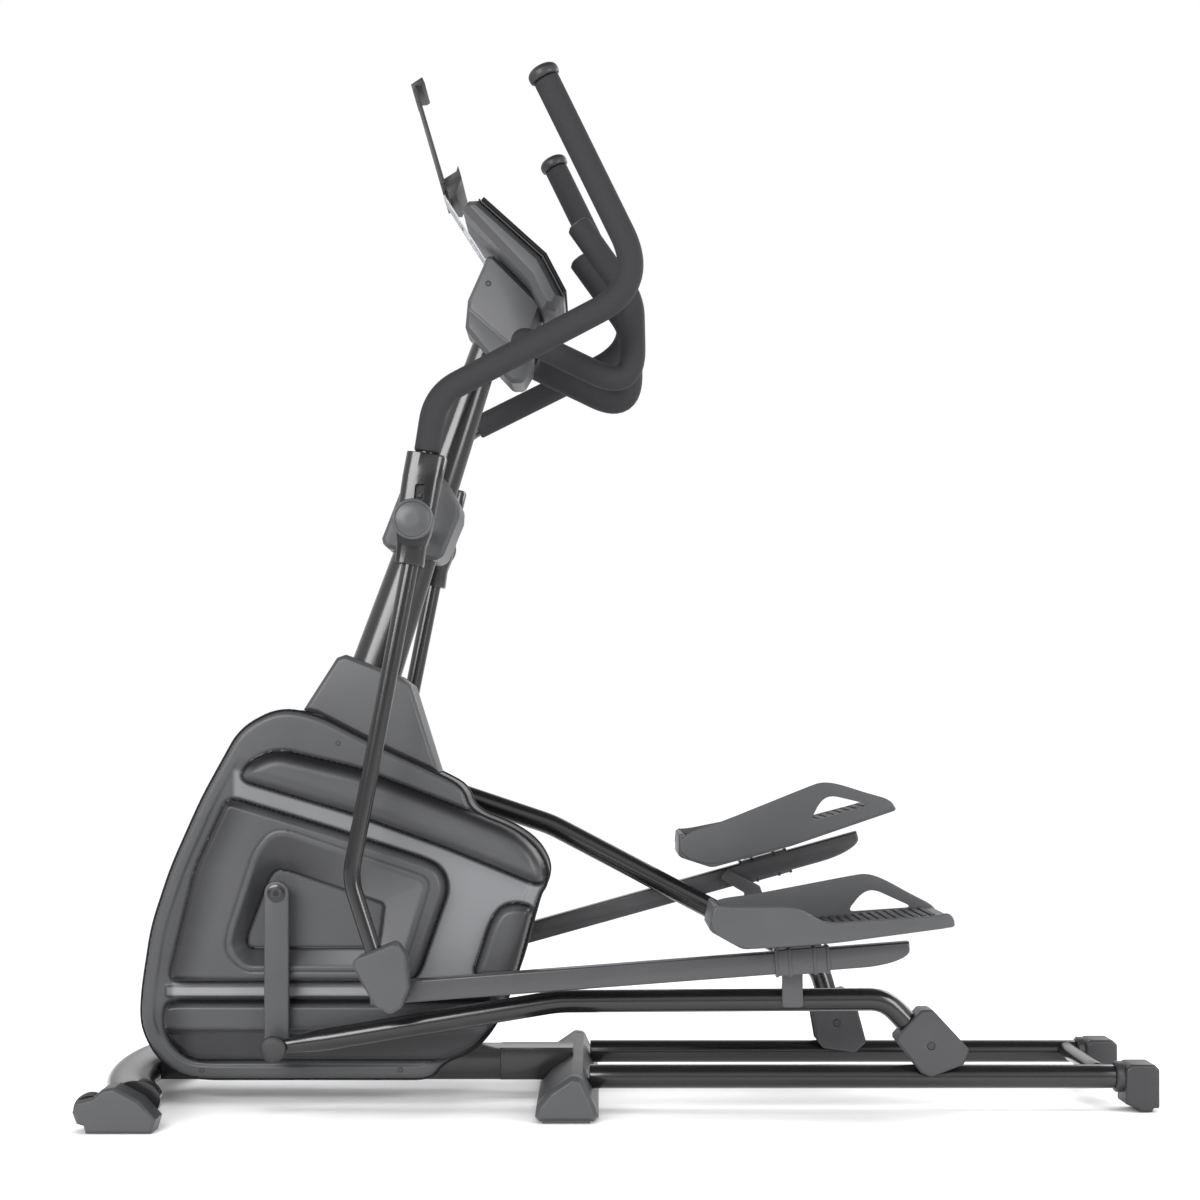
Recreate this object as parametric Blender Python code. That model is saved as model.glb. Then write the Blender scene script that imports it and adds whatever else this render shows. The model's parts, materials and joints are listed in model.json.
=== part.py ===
"""Front-drive elliptical trainer: frame, drive, linkage, handlebars and console, in metres.

+X points to the rear (the user's end), -Y is the user's left, +Z is up.
Side-view points are (X, Z). Angles turn anticlockwise in the view along +Y.
"""

import math

import bmesh
import bpy
from mathutils import Vector

# ---------------------------------------------------------------- driving dimensions
GAP = 0.0003  # between two pieces that touch
CENTRING = 0.0027  # moves the whole machine so that its middle is over the origin
CRANK_AXIS = (-0.536, 0.327)
CRANK_RADIUS = 0.232
SWING_AXIS = (-0.318, 0.883)
ROLLER_HEIGHT = 0.100
BAR_LENGTH = 0.990  # crank pin to roller axle
PEDAL_PIVOT = (-0.25834524, 0.1278064)  # on the roller bar, from the roller axle
PEDAL_BAR_LENGTH = 0.553634  # pivot to the swing arm's lower end
FLYWHEEL_AXIS = (-0.285, 0.235)
BRAKE_AXIS = (-0.3846, 0.2925)
WHEEL_AXIS = (-0.773, 0.0305)

# rest pose of each side: roller X, then bar, pedal bar and swing arm angles in degrees
SIDES = {
    "left": {"y": -1, "crank": 0.0, "roller": 0.454, "bar": 0.2894, "pedal": 4.4027, "swing": 0.0},
    "right": {"y": 1, "crank": 180.0, "roller": 0.3412, "bar": -27.622, "pedal": 15.5842,
              "swing": -0.3904},
}
LEFT = SIDES["left"]

# planes across the machine, as distances from the middle
SHELL_FACE, BULGE_FACE = 0.070, 0.097
ARM_IN, ARM_OUT = 0.102, 0.114
BAR_PLANE, BAR_RADIUS = 0.134, 0.0172
PEDAL_BAR_IN, PEDAL_BAR_OUT = 0.155, 0.183
SWING_PLANE, SWING_RADIUS = 0.2005, 0.0127
PEDAL_IN, PEDAL_OUT = 0.075, 0.225
RAIL_PLANE, RAIL_RADIUS, RAIL_HEIGHT = 0.120, 0.018, 0.050

HANDLE_RADIUS, FOAM_RADIUS = 0.0143, 0.0192
TUBE_WALL = 0.002
SHELL_WALL = 0.003

BLACK_STEEL = ((0.012, 0.012, 0.014), 0.28, 0.6)
GREY_STEEL = ((0.35, 0.35, 0.36), 0.30, 1.0)
GREY_PLASTIC = ((0.085, 0.086, 0.092), 0.45, 0.0)
DARK_PLASTIC = ((0.025, 0.025, 0.028), 0.50, 0.0)
GLOSS_PLASTIC = ((0.010, 0.010, 0.012), 0.12, 0.0)
FOAM = ((0.030, 0.030, 0.033), 0.90, 0.0)
RUBBER = ((0.020, 0.020, 0.020), 0.80, 0.0)
CAST_IRON = ((0.20, 0.20, 0.21), 0.45, 0.9)


def clear_scene():
    for obj in list(bpy.data.objects):
        bpy.data.objects.remove(obj)


# ---------------------------------------------------------------- flat outlines
def turn(point, degrees):
    angle = math.radians(degrees)
    c, s = math.cos(angle), math.sin(angle)
    return (c * point[0] - s * point[1], s * point[0] + c * point[1])


def local(points, origin, degrees=0.0):
    """Side-view points seen from an origin that is turned by degrees."""
    return [turn((x - origin[0], z - origin[1]), -degrees) for x, z in points]


def rounded(points, radius, steps=3):
    """A closed outline with each corner replaced by an arc."""
    result = []
    for i, corner in enumerate(points):
        here = Vector(corner)
        before, after = Vector(points[i - 1]) - here, Vector(points[(i + 1) % len(points)]) - here
        half = before.angle(after) / 2
        reach = min(radius / math.tan(half), 0.45 * before.length, 0.45 * after.length)
        start, end = here + before.normalized() * reach, here + after.normalized() * reach
        for k in range(steps + 1):
            t = k / steps
            result.append(tuple((1 - t) ** 2 * start + 2 * t * (1 - t) * here + t * t * end))
    return result


def area(points):
    pairs = zip(points, points[1:] + points[:1])
    return sum(a[0] * b[1] - b[0] * a[1] for a, b in pairs) / 2


def inset(points, distance):
    """The outline moved inwards; a negative distance moves it outwards."""
    sign = 1 if area(points) > 0 else -1
    result = []
    for i, corner in enumerate(points):
        here = Vector(corner)
        a = (here - Vector(points[i - 1])).normalized()
        b = (Vector(points[(i + 1) % len(points)]) - here).normalized()
        normal = Vector((-(a.y + b.y), a.x + b.x)).normalized() * sign
        slope = max(0.5, math.sqrt(max(0.0, (1 + a.dot(b)) / 2)))
        result.append(tuple(here + normal * distance / slope))
    return result


def circle(centre, radius, sides):
    steps = [2 * math.pi * k / sides for k in range(sides)]
    return [(centre[0] + radius * math.cos(a), centre[1] + radius * math.sin(a)) for a in steps]


def slot_outline(length, half_width, steps):
    """A plate with round ends, from the origin down to (0, -length)."""
    arc = [math.pi * k / steps for k in range(steps + 1)]
    top = [(half_width * math.cos(a), half_width * math.sin(a)) for a in arc]
    low = [(-half_width * math.cos(a), -length - half_width * math.sin(a)) for a in arc]
    return top + low


# ---------------------------------------------------------------- solids
def loft(rings, ring_closed=False):
    """A closed skin through equal rings, capped at both ends unless it runs round."""
    bm = bmesh.new()
    rows = [[bm.verts.new(p) for p in ring] for ring in rings]
    count = len(rows[0])
    spans = list(zip(rows, rows[1:] + rows[:1])) if ring_closed else list(zip(rows, rows[1:]))
    for low, high in spans:
        for k in range(count):
            n = (k + 1) % count
            bm.faces.new((low[k], low[n], high[n], high[k]))
    if not ring_closed:
        bm.faces.new(rows[0][::-1])
        bm.faces.new(rows[-1])
    bmesh.ops.recalc_face_normals(bm, faces=bm.faces)
    mesh = bpy.data.meshes.new("solid")
    bm.to_mesh(mesh)
    bm.free()
    return mesh


def across(outline, y):
    return [Vector((x, y, z)) for x, z in outline]


def prism(outline, y0, y1):
    return loft([across(outline, y0), across(outline, y1)])


def layered(layers):
    """A solid through outlines given as (outline, y)."""
    return loft([across(outline, y) for outline, y in layers])


def block(x0, x1, y0, y1, z0, z1):
    return prism([(x0, z0), (x1, z0), (x1, z1), (x0, z1)], y0, y1)


def disc(centre, radius, y0, y1, sides=24):
    return prism(circle(centre, radius, sides), y0, y1)


def ring(centre, outer, inner, y0, y1, sides=24):
    out, hole = circle(centre, outer, sides), circle(centre, inner, sides)
    return loft([across(out, y0), across(out, y1), across(hole, y1), across(hole, y0)], True)


def bent(points, radii, steps=4):
    """A path with an arc at each inner corner."""
    points = [Vector(p) for p in points]
    path = [points[0]]
    for i in range(1, len(points) - 1):
        here = points[i]
        before, after = points[i - 1] - here, points[i + 1] - here
        reach = radii[i - 1] / math.tan(before.angle(after) / 2)
        reach = min(reach, 0.48 * before.length, 0.48 * after.length)
        start, end = here + before.normalized() * reach, here + after.normalized() * reach
        for k in range(steps + 1):
            t = k / steps
            path.append((1 - t) ** 2 * start + 2 * t * (1 - t) * here + t * t * end)
    return path + [points[-1]]


def frames(path, upright=None):
    """(place, side, up) at each point of a path; side starts near +Y and is carried along."""
    result = []
    side = Vector(upright or (0, 1, 0))
    for i, here in enumerate(path):
        ahead = path[min(i + 1, len(path) - 1)] - path[max(i - 1, 0)]
        tangent = ahead.normalized()
        side = (side - tangent * side.dot(tangent)).normalized()
        result.append((here, side, tangent.cross(side)))
    return result


def oval(frame, half_side, half_up, sides):
    here, side, up = frame
    angles = [2 * math.pi * (k + 0.5) / sides for k in range(sides)]
    return [here + side * half_side * math.cos(a) + up * half_up * math.sin(a) for a in angles]


def rod(path, radius, sides=12, upright=None):
    return loft([oval(f, radius, radius, sides) for f in frames(path, upright)])


def pipe(path, outer, inner, sides=12, upright=None):
    """An open tube; outer and inner are radii, or one (side, up) pair per point."""
    places = frames(path, upright)

    def skin(size):
        sizes = size if isinstance(size, list) else [(size, size)] * len(path)
        return [oval(f, a, b, sides) for f, (a, b) in zip(places, sizes)]

    return loft(skin(outer) + skin(inner)[::-1], True)


def box_pipe(x0, x1, y0, y1, z0, z1, wall):
    """A rectangular tube along X, open at both ends."""
    def corners(x, inside):
        a, b, c, d = y0 + inside, y1 - inside, z0 + inside, z1 - inside
        return [Vector((x, a, c)), Vector((x, b, c)), Vector((x, b, d)), Vector((x, a, d))]

    rings = [corners(x0, 0), corners(x1, 0), corners(x1, wall), corners(x0, wall)]
    return loft(rings, True)


def turned(profile, origin, axis, sides=16):
    """A solid of revolution; profile is (along, radius) and starts and ends on the axis."""
    path = [Vector(origin) + Vector(axis).normalized() * along for along, _ in profile[1:-1]]
    side = Vector((0, 1, 0)) if abs(Vector(axis).normalized().y) < 0.9 else Vector((1, 0, 0))
    tangent = Vector(axis).normalized()
    side = (side - tangent * side.dot(tangent)).normalized()
    up = tangent.cross(side)
    radii = [radius for _, radius in profile[1:-1]]
    return loft([oval((p, side, up), r, r, sides) for p, r in zip(path, radii)])


# ---------------------------------------------------------------- combining
def solid_object(name, mesh):
    obj = bpy.data.objects.new(name, mesh)
    bpy.context.scene.collection.objects.link(obj)
    return obj


def combine(base, others, operation):
    """One mesh from a base and others, joined (UNION) or taken away (DIFFERENCE)."""
    target = solid_object("target", base)
    tools = [solid_object("tool", mesh) for mesh in others]
    for tool in tools:
        step = target.modifiers.new("step", "BOOLEAN")
        step.operation = operation
        step.solver = "EXACT"
        step.object = tool
    graph = bpy.context.evaluated_depsgraph_get()
    result = bpy.data.meshes.new_from_object(target.evaluated_get(graph))
    for obj in [target] + tools:
        bpy.data.objects.remove(obj)
    return result


def joined(base, *others):
    return combine(base, others, "UNION")


def without(base, *others):
    return combine(base, others, "DIFFERENCE")


def place(name, mesh, finish, origin=(0, 0, 0), degrees=0.0, smooth=False, bevel=0.0):
    """The finished sub-part, its origin at a point and turned in the side view."""
    obj = solid_object(name, mesh)
    mesh.name = name
    obj.location = Vector(origin) + Vector((CENTRING, 0, 0))
    obj.rotation_euler = (0, -math.radians(degrees), 0)
    colour, roughness, metallic = finish
    material = bpy.data.materials.new(name)
    material.use_nodes = True
    shader = material.node_tree.nodes["Principled BSDF"]
    shader.inputs["Base Color"].default_value = (*colour, 1.0)
    shader.inputs["Roughness"].default_value = roughness
    shader.inputs["Metallic"].default_value = metallic
    mesh.materials.clear()
    mesh.materials.append(material)
    if smooth:
        mesh.shade_smooth()
    if bevel:
        edge = obj.modifiers.new("edges", "BEVEL")
        edge.width = bevel
        edge.segments = 1
        edge.limit_method = "ANGLE"
        edge.angle_limit = math.radians(40)
    return obj


def mirrored(mesh, sign):
    """The mesh as modelled on +Y, or its mirror image on -Y."""
    if sign < 0:
        bm = bmesh.new()
        bm.from_mesh(mesh)
        bmesh.ops.scale(bm, vec=(1, -1, 1), verts=bm.verts)
        bmesh.ops.reverse_faces(bm, faces=bm.faces)
        bm.to_mesh(mesh)
        bm.free()
    return mesh


# ---------------------------------------------------------------- base and mast
BEAM = {"x0": -0.7305, "x1": -0.1408, "half": 0.030, "z0": 0.030, "z1": 0.078}
MID_OUTLINE = [(-0.140, 0.003), (-0.137, 0.025), (-0.118, 0.047), (-0.086, 0.069),
               (-0.071, 0.067), (-0.050, 0.022), (-0.046, 0.003)]
FRONT_CAP = [(-0.776, 0.0), (-0.682, 0.0), (-0.676, 0.020), (-0.700, 0.047), (-0.735, 0.066),
             (-0.752, 0.063), (-0.766, 0.051), (-0.788, 0.046), (-0.795, 0.030), (-0.789, 0.014),
             (-0.779, 0.011)]
REAR_CAP = [(0.747, 0.012), (0.765, 0.005), (0.767, 0.0), (0.787, 0.0), (0.789, 0.006),
            (0.798, 0.006), (0.798, 0.064), (0.790, 0.072), (0.755, 0.072), (0.747, 0.064)]
RAIL_START, RAIL_END = -0.060, 0.765


def flywheel_fork():
    """Two cheeks that hold the flywheel's axle, on a foot let into the beam."""
    cheek = [(-0.325, 0.0790), (-0.251, 0.0790), (-0.262, 0.235), (-0.272, 0.258),
             (-0.298, 0.258), (-0.308, 0.235)]
    fork = joined(block(-0.325, -0.251, -0.026, 0.026, 0.0770, 0.0830),
                  prism(cheek, -0.026, -0.022), prism(cheek, 0.022, 0.026))
    return without(fork, disc(FLYWHEEL_AXIS, 0.0085, -0.04, 0.04, 12))


def build_base():
    beam = box_pipe(BEAM["x0"], BEAM["x1"], -BEAM["half"], BEAM["half"], BEAM["z0"], BEAM["z1"],
                    TUBE_WALL)
    place("base_beam", joined(beam, flywheel_fork()), BLACK_STEEL)
    path = [Vector((-0.768 + 0.053 * (k / 3) ** 2, 0.245 * k / 3, 0.040)) for k in range(-3, 4)]
    path = [Vector((-0.715, -0.2617, 0.040))] + path + [Vector((-0.715, 0.2617, 0.040))]
    outer, inner = [(0.036, 0.028)] * 9, [(0.0335, 0.0255)] * 9
    place("front_stabilizer", pipe(path, outer, inner, 12, upright=(1, 0, 0)), BLACK_STEEL,
          smooth=True)
    middle = loft([across(MID_OUTLINE, -0.200), across(MID_OUTLINE, 0.200),
                   across(inset(MID_OUTLINE, SHELL_WALL), 0.200),
                   across(inset(MID_OUTLINE, SHELL_WALL), -0.200)], True)
    pockets = [rod([Vector((RAIL_START - GAP, y * RAIL_PLANE, RAIL_HEIGHT)),
                    Vector((0, y * RAIL_PLANE, RAIL_HEIGHT))], RAIL_RADIUS + GAP, 16)
               for y in (-1, 1)]
    place("middle_stabilizer", without(middle, *pockets), GREY_PLASTIC)
    place("rail_cross_tube", pipe([Vector((0.716, -0.1012, 0.055)), Vector((0.716, 0.1012, 0.055))],
                                  0.0125, 0.0105, 12, upright=(1, 0, 0)), BLACK_STEEL, smooth=True)


def build_base_side(side, y):
    rail = pipe([Vector((RAIL_START, RAIL_PLANE, RAIL_HEIGHT)),
                 Vector((RAIL_END, RAIL_PLANE, RAIL_HEIGHT))], RAIL_RADIUS, 0.016, 16)
    place(f"{side}_rail", mirrored(rail, y), BLACK_STEEL, smooth=True)
    cap = layered([(inset(REAR_CAP, 0.003), 0.092), (REAR_CAP, 0.095), (REAR_CAP, 0.145),
                   (inset(REAR_CAP, 0.003), 0.148)])
    socket = rod([Vector((0.740, RAIL_PLANE, RAIL_HEIGHT)),
                  Vector((RAIL_END + GAP, RAIL_PLANE, RAIL_HEIGHT))], RAIL_RADIUS + GAP, 16)
    place(f"{side}_rail_cap", mirrored(without(cap, socket), y), DARK_PLASTIC)
    outline = rounded(MID_OUTLINE, 0.006, 1)
    foot = layered([(outline, 0.2003), (outline, 0.228), (inset(outline, 0.006), 0.236)])
    sole = block(-0.128, -0.058, 0.203, 0.230, 0.0, 0.006)
    place(f"{side}_middle_cap", mirrored(joined(foot, sole), y), GREY_PLASTIC)
    cap = layered([(FRONT_CAP, 0.262), (FRONT_CAP, 0.303), (inset(FRONT_CAP, 0.004), 0.308)])
    slot = disc(WHEEL_AXIS, 0.0275, 0.2715, 0.2925, 16)
    axle = disc(WHEEL_AXIS, 0.004, 0.266, 0.299, 12)
    place(f"{side}_front_cap", mirrored(joined(without(cap, slot), axle), y), GREY_PLASTIC)
    wheel = ring((0, 0), 0.0245, 0.0043, 0.2720, 0.2920, 20)
    place(f"{side}_transport_wheel", mirrored(wheel, y), RUBBER,
          (WHEEL_AXIS[0], 0, WHEEL_AXIS[1]))


MAST_LOW, MAST_HIGH = (-0.4142, 0.620), (-0.1985, 1.250)


def mast_skin(low, high, extra):
    """Tapered oval outline pairs (across, along X) of the mast between two heights."""
    path, sizes = [], []
    for t in (low, 0.33, 0.66, high):
        path.append(Vector((MAST_LOW[0] + t * (MAST_HIGH[0] - MAST_LOW[0]), 0,
                            MAST_LOW[1] + t * (MAST_HIGH[1] - MAST_LOW[1]))))
        sizes.append((0.028 - 0.006 * t + extra, 0.0425 - 0.0215 * t + extra))
    return path, sizes


def mast_core():
    """The space the mast takes, with a little room round it."""
    path, sizes = mast_skin(-0.10, 1.0, 3 * GAP)
    return loft([oval(f, a, b, 12) for f, (a, b) in zip(frames(path), sizes)])


def build_mast():
    path, outer = mast_skin(0.0, 1.0, 0.0)
    inner = [(a - TUBE_WALL, b - TUBE_WALL) for a, b in outer]
    hole = disc(SWING_AXIS, 0.0103, -0.1, 0.1, 16)
    place("mast", without(pipe(path, outer, inner, 12), hole), BLACK_STEEL)
    post_path = bent([(-0.445, 0, 0.0783), (-0.445, 0, 0.480), (-0.4145, 0, 0.6190)], [0.2], 3)
    count = len(post_path)
    post = pipe(post_path, [(0.022, 0.030)] * count, [(0.0195, 0.0275)] * count, 12)
    shell = disc(CRANK_AXIS, 0.022, -0.038, 0.034, 16)
    web = prism([(-0.466, 0.250), (-0.466, 0.404), (-0.536, 0.346), (-0.536, 0.308)],
                -0.010, 0.010)
    lug = block(-0.445, -0.3766, 0.0160, 0.0255, 0.2845, 0.3005)
    pin = disc(BRAKE_AXIS, 0.006, -0.0165, 0.020, 12)
    bore = disc(CRANK_AXIS, 0.0103, -0.1, 0.1, 16)
    place("frame_post", without(joined(post, shell, web, lug, pin), bore), BLACK_STEEL)
    place("pivot_axle", disc((0, 0), 0.010, -0.2212, 0.2212, 16), GREY_STEEL,
          (SWING_AXIS[0], 0, SWING_AXIS[1]))


# ---------------------------------------------------------------- covers
HOUSING = [(-0.754, 0.130), (-0.752, 0.173), (-0.737, 0.272), (-0.707, 0.363), (-0.659, 0.471),
           (-0.600, 0.578), (-0.540, 0.6095), (-0.482, 0.599), (-0.377, 0.545), (-0.295, 0.508),
           (-0.255, 0.487), (-0.244, 0.450), (-0.178, 0.424), (-0.142, 0.398), (-0.123, 0.363),
           (-0.127, 0.335), (-0.137, 0.322), (-0.170, 0.203), (-0.204, 0.120), (-0.238, 0.080),
           (-0.288, 0.061), (-0.303, 0.036), (-0.659, 0.036), (-0.693, 0.043), (-0.728, 0.069),
           (-0.747, 0.103)]
UPPER_BULGE = [(-0.602, 0.499), (-0.583, 0.529), (-0.540, 0.546), (-0.417, 0.517),
               (-0.272, 0.461), (-0.179, 0.423), (-0.145, 0.396), (-0.127, 0.361),
               (-0.134, 0.334), (-0.280, 0.394), (-0.426, 0.447)]
MAIN_BULGE = [(-0.618, 0.472), (-0.470, 0.427), (-0.310, 0.375), (-0.287, 0.361),
              (-0.278, 0.331), (-0.324, 0.200), (-0.340, 0.188), (-0.700, 0.188),
              (-0.708, 0.198), (-0.668, 0.362)]
DISH = [(-0.568, 0.386), (-0.546, 0.414), (-0.524, 0.416), (-0.310, 0.343), (-0.345, 0.231),
        (-0.360, 0.213), (-0.587, 0.213), (-0.612, 0.240), (-0.606, 0.270)]
DISH_FLOOR = [(-0.552, 0.350), (-0.541, 0.361), (-0.520, 0.357), (-0.376, 0.308),
              (-0.381, 0.265), (-0.385, 0.240), (-0.580, 0.240), (-0.588, 0.246),
              (-0.585, 0.262)]
LOWER_BULGE = [(-0.716, 0.148), (-0.706, 0.158), (-0.192, 0.158), (-0.207, 0.121),
               (-0.239, 0.086), (-0.290, 0.066), (-0.671, 0.066), (-0.700, 0.085),
               (-0.716, 0.112)]
THUMB = [(-0.240, 0.196), (-0.212, 0.280), (-0.196, 0.303), (-0.172, 0.309), (-0.146, 0.302),
         (-0.172, 0.207), (-0.177, 0.196)]
NECK = [(-0.5050, 0.6070), (-0.4530, 0.6880), (-0.4390, 0.6930), (-0.3560, 0.6600),
        (-0.3370, 0.6450), (-0.2950, 0.5098), (-0.3770, 0.5466), (-0.4820, 0.6008)]


def bulge(outline, height, lean):
    """A raised field on the shell's face, with leaning sides."""
    return layered([(outline, SHELL_FACE - 0.002), (inset(outline, lean * 0.4), height - lean * 0.6),
                    (inset(outline, lean), height)])


def build_shell(side, y):
    rim = layered([(HOUSING, GAP / 2), (HOUSING, 0.064), (inset(HOUSING, 0.005), SHELL_FACE)])
    fields = [bulge(UPPER_BULGE, BULGE_FACE, 0.009), bulge(MAIN_BULGE, BULGE_FACE, 0.008),
              bulge(LOWER_BULGE, 0.092, 0.010), bulge(THUMB, 0.090, 0.010)]
    solid = joined(rim, *fields)
    hollow = layered([(inset(HOUSING, SHELL_WALL), -0.01), (inset(HOUSING, SHELL_WALL), 0.061),
                      (inset(HOUSING, 0.008), SHELL_FACE - SHELL_WALL)])
    pockets = [layered([(inset(UPPER_BULGE, 0.006), 0.060), (inset(UPPER_BULGE, 0.012), 0.093)]),
               layered([(inset(LOWER_BULGE, 0.006), 0.060), (inset(LOWER_BULGE, 0.013), 0.088)]),
               layered([(inset(THUMB, 0.006), 0.060), (inset(THUMB, 0.013), 0.086)])]
    dish = layered([(inset(DISH_FLOOR, 0.001), 0.0795), (DISH, BULGE_FACE + 0.001)])
    beam_room = block(-0.80, -0.20, -0.01, BEAM["half"] + 0.0005, 0.0, BEAM["z1"] + 0.0005)
    post_room = prism([(-0.475, 0.50), (-0.388, 0.50), (-0.360, 0.65), (-0.475, 0.65)],
                      -0.01, 0.0235)
    axle_room = disc(CRANK_AXIS, 0.0120, -0.01, 0.12, 16)
    shell = without(solid, hollow, *pockets)
    shell = without(shell, dish, beam_room, post_room, axle_room)
    place(f"{side}_housing_shell", mirrored(shell, y), GREY_PLASTIC)


def build_covers():
    neck = layered([(inset(NECK, 0.006), -0.052), (NECK, -0.046), (NECK, 0.046),
                    (inset(NECK, 0.006), 0.052)])
    core = inset(NECK, SHELL_WALL)
    core = core[:5] + [(-0.2990, 0.480), (-0.3770, 0.480), (-0.5000, 0.560)]
    hollow = prism(core, -0.043, 0.043)
    place("neck_shroud", without(neck, hollow, mast_core()), GREY_PLASTIC)
    outline = rounded([(-0.384, 0.868), (-0.374, 0.858), (-0.300, 0.838), (-0.287, 0.845),
                       (-0.262, 0.905), (-0.261, 0.924), (-0.276, 0.952), (-0.300, 0.985),
                       (-0.345, 0.968)], 0.008, 1)
    cover = layered([(inset(outline, 0.006), -0.060), (outline, -0.052), (outline, 0.052),
                     (inset(outline, 0.006), 0.060)])
    hollow = prism(inset(outline, 0.004), -0.055, 0.055)
    hole = disc(SWING_AXIS, 0.0103, -0.1, 0.1, 16)
    place("pivot_cover", without(cover, hollow, mast_core(), hole), GREY_PLASTIC)


# ---------------------------------------------------------------- drive inside the covers
PULLEY_RADIUS, DRIVEN_RADIUS = 0.140, 0.016
BELT_IN, BELT_OUT = 0.0403, 0.0517


def belt_outline(extra):
    """The line round both pulleys, extra outside them."""
    dx, dz = FLYWHEEL_AXIS[0] - CRANK_AXIS[0], FLYWHEEL_AXIS[1] - CRANK_AXIS[1]
    heading = math.atan2(dz, dx)
    lean = math.acos((PULLEY_RADIUS - DRIVEN_RADIUS) / math.hypot(dx, dz))
    big = [heading + lean + (2 * math.pi - 2 * lean) * k / 20 for k in range(21)]
    small = [heading - lean + 2 * lean * k / 6 for k in range(7)]
    points = [(CRANK_AXIS[0] + (PULLEY_RADIUS + extra) * math.cos(a),
               CRANK_AXIS[1] + (PULLEY_RADIUS + extra) * math.sin(a)) for a in big]
    points += [(FLYWHEEL_AXIS[0] + (DRIVEN_RADIUS + extra) * math.cos(a),
                FLYWHEEL_AXIS[1] + (DRIVEN_RADIUS + extra) * math.sin(a)) for a in small]
    return points


def build_drive():
    crank_origin = (CRANK_AXIS[0], 0, CRANK_AXIS[1])
    place("crank_axle", disc((0, 0), 0.010, -0.1017, 0.1017, 16), GREY_STEEL, crank_origin)
    web = joined(ring((0, 0), PULLEY_RADIUS, 0.128, BELT_IN - 0.0003, BELT_OUT + 0.0003, 24),
                 disc((0, 0), 0.133, 0.0425, 0.0495, 24), disc((0, 0), 0.024, 0.0360, 0.0560, 16))
    holes = [disc(turn((0.078, 0), 60 * k), 0.024, 0.03, 0.06, 8) for k in range(6)]
    bore = disc((0, 0), 0.0103, 0.03, 0.06, 16)
    place("drive_pulley", without(web, bore, *holes), CAST_IRON, crank_origin)
    loop = loft([across(belt_outline(0.0034), BELT_IN), across(belt_outline(0.0034), BELT_OUT),
                 across(belt_outline(0.0008), BELT_OUT), across(belt_outline(0.0008), BELT_IN)],
                True)
    place("drive_belt", loop, RUBBER)
    flywheel_origin = (FLYWHEEL_AXIS[0], 0, FLYWHEEL_AXIS[1])
    wheel = joined(disc((0, 0), 0.095, -0.015, 0.015, 32), disc((0, 0), 0.008, -0.031, 0.0535, 16),
                   disc((0, 0), DRIVEN_RADIUS, BELT_IN, BELT_OUT, 16))
    place("flywheel", wheel, CAST_IRON, flywheel_origin)
    reach = math.dist(FLYWHEEL_AXIS, BRAKE_AXIS)
    start = math.degrees(math.atan2(BRAKE_AXIS[1] - FLYWHEEL_AXIS[1],
                                    BRAKE_AXIS[0] - FLYWHEEL_AXIS[0]))
    angles = [start - 8 * k for k in range(10)]
    centre = (FLYWHEEL_AXIS[0] - BRAKE_AXIS[0], FLYWHEEL_AXIS[1] - BRAKE_AXIS[1])
    outer = [tuple(Vector(centre) + Vector(turn((reach - 0.004, 0), a))) for a in angles]
    inner = [tuple(Vector(centre) + Vector(turn((reach - 0.014, 0), a))) for a in angles]
    arm = joined(disc((0, 0), 0.012, -0.0155, 0.0155, 16),
                 prism(outer + inner[::-1], -0.015, 0.015))
    arm = without(arm, disc((0, 0), 0.0063, -0.03, 0.03, 16))
    place("brake_arm", arm, CAST_IRON, (BRAKE_AXIS[0], 0, BRAKE_AXIS[1]))


# ---------------------------------------------------------------- linkage, one side
def build_crank_arm(side, y, pose):
    plate = prism(slot_outline(CRANK_RADIUS, 0.0188, 8), ARM_IN, ARM_OUT)
    arm = joined(plate, disc((0, 0), 0.0137, ARM_IN + 0.005, ARM_OUT + 0.002, 16))
    place(f"{side}_crank_arm", mirrored(arm, y), GREY_PLASTIC,
          (CRANK_AXIS[0], 0, CRANK_AXIS[1]), pose["crank"])


def bar_path():
    """The roller bar's tube, from the crank pin's eye to the roller housing."""
    return bent([(-0.985, BAR_PLANE, 0.001), (-0.561, BAR_PLANE, 0.0685),
                 (-0.066, 0.126, 0.0680), (-0.030, 0.122, 0.0300)], [0.20, 0.055], 3)


def build_roller_bar(side, y, pose):
    origin = (pose["roller"], 0, ROLLER_HEIGHT)
    path = bar_path()
    path.insert(1, path[0] + Vector((0.060, 0, 0.0094)))
    sizes = [(0.0065, 0.0100), (0.0120, 0.0130)] + [(BAR_RADIUS, BAR_RADIUS)] * (len(path) - 2)
    inner = [(a - TUBE_WALL, b - TUBE_WALL) for a, b in sizes]
    tube = pipe(path, sizes, inner, 10)
    pin = (-BAR_LENGTH, 0.0)
    eye = disc(pin, 0.0150, ARM_OUT + 0.0006, 0.139, 12)
    cap = turned([(0, 0), (0, 0.0165), (0.003, 0.0198), (0.009, 0.0198), (0.0145, 0.0130),
                  (0.0145, 0)], (pin[0], 0.138, pin[1]), (0, 1, 0), 12)
    px, pz = PEDAL_PIVOT
    plate = prism(rounded([(px - 0.013, pz + 0.012), (px - 0.016, pz - 0.008), (px + 0.026, 0.060),
                           (px + 0.060, 0.060), (px + 0.060, pz - 0.020), (px + 0.014, pz + 0.012)],
                          0.006, 1), 0.1460, 0.1543)
    foot = block(px + 0.030, px + 0.058, 0.118, 0.150, 0.070, 0.0905)
    pivot = disc(PEDAL_PIVOT, 0.0080, 0.150, 0.1828, 12)
    bar = joined(tube, eye, cap, plate, foot, pivot)
    place(f"{side}_roller_bar", mirrored(bar, y), BLACK_STEEL, origin, pose["bar"])


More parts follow.
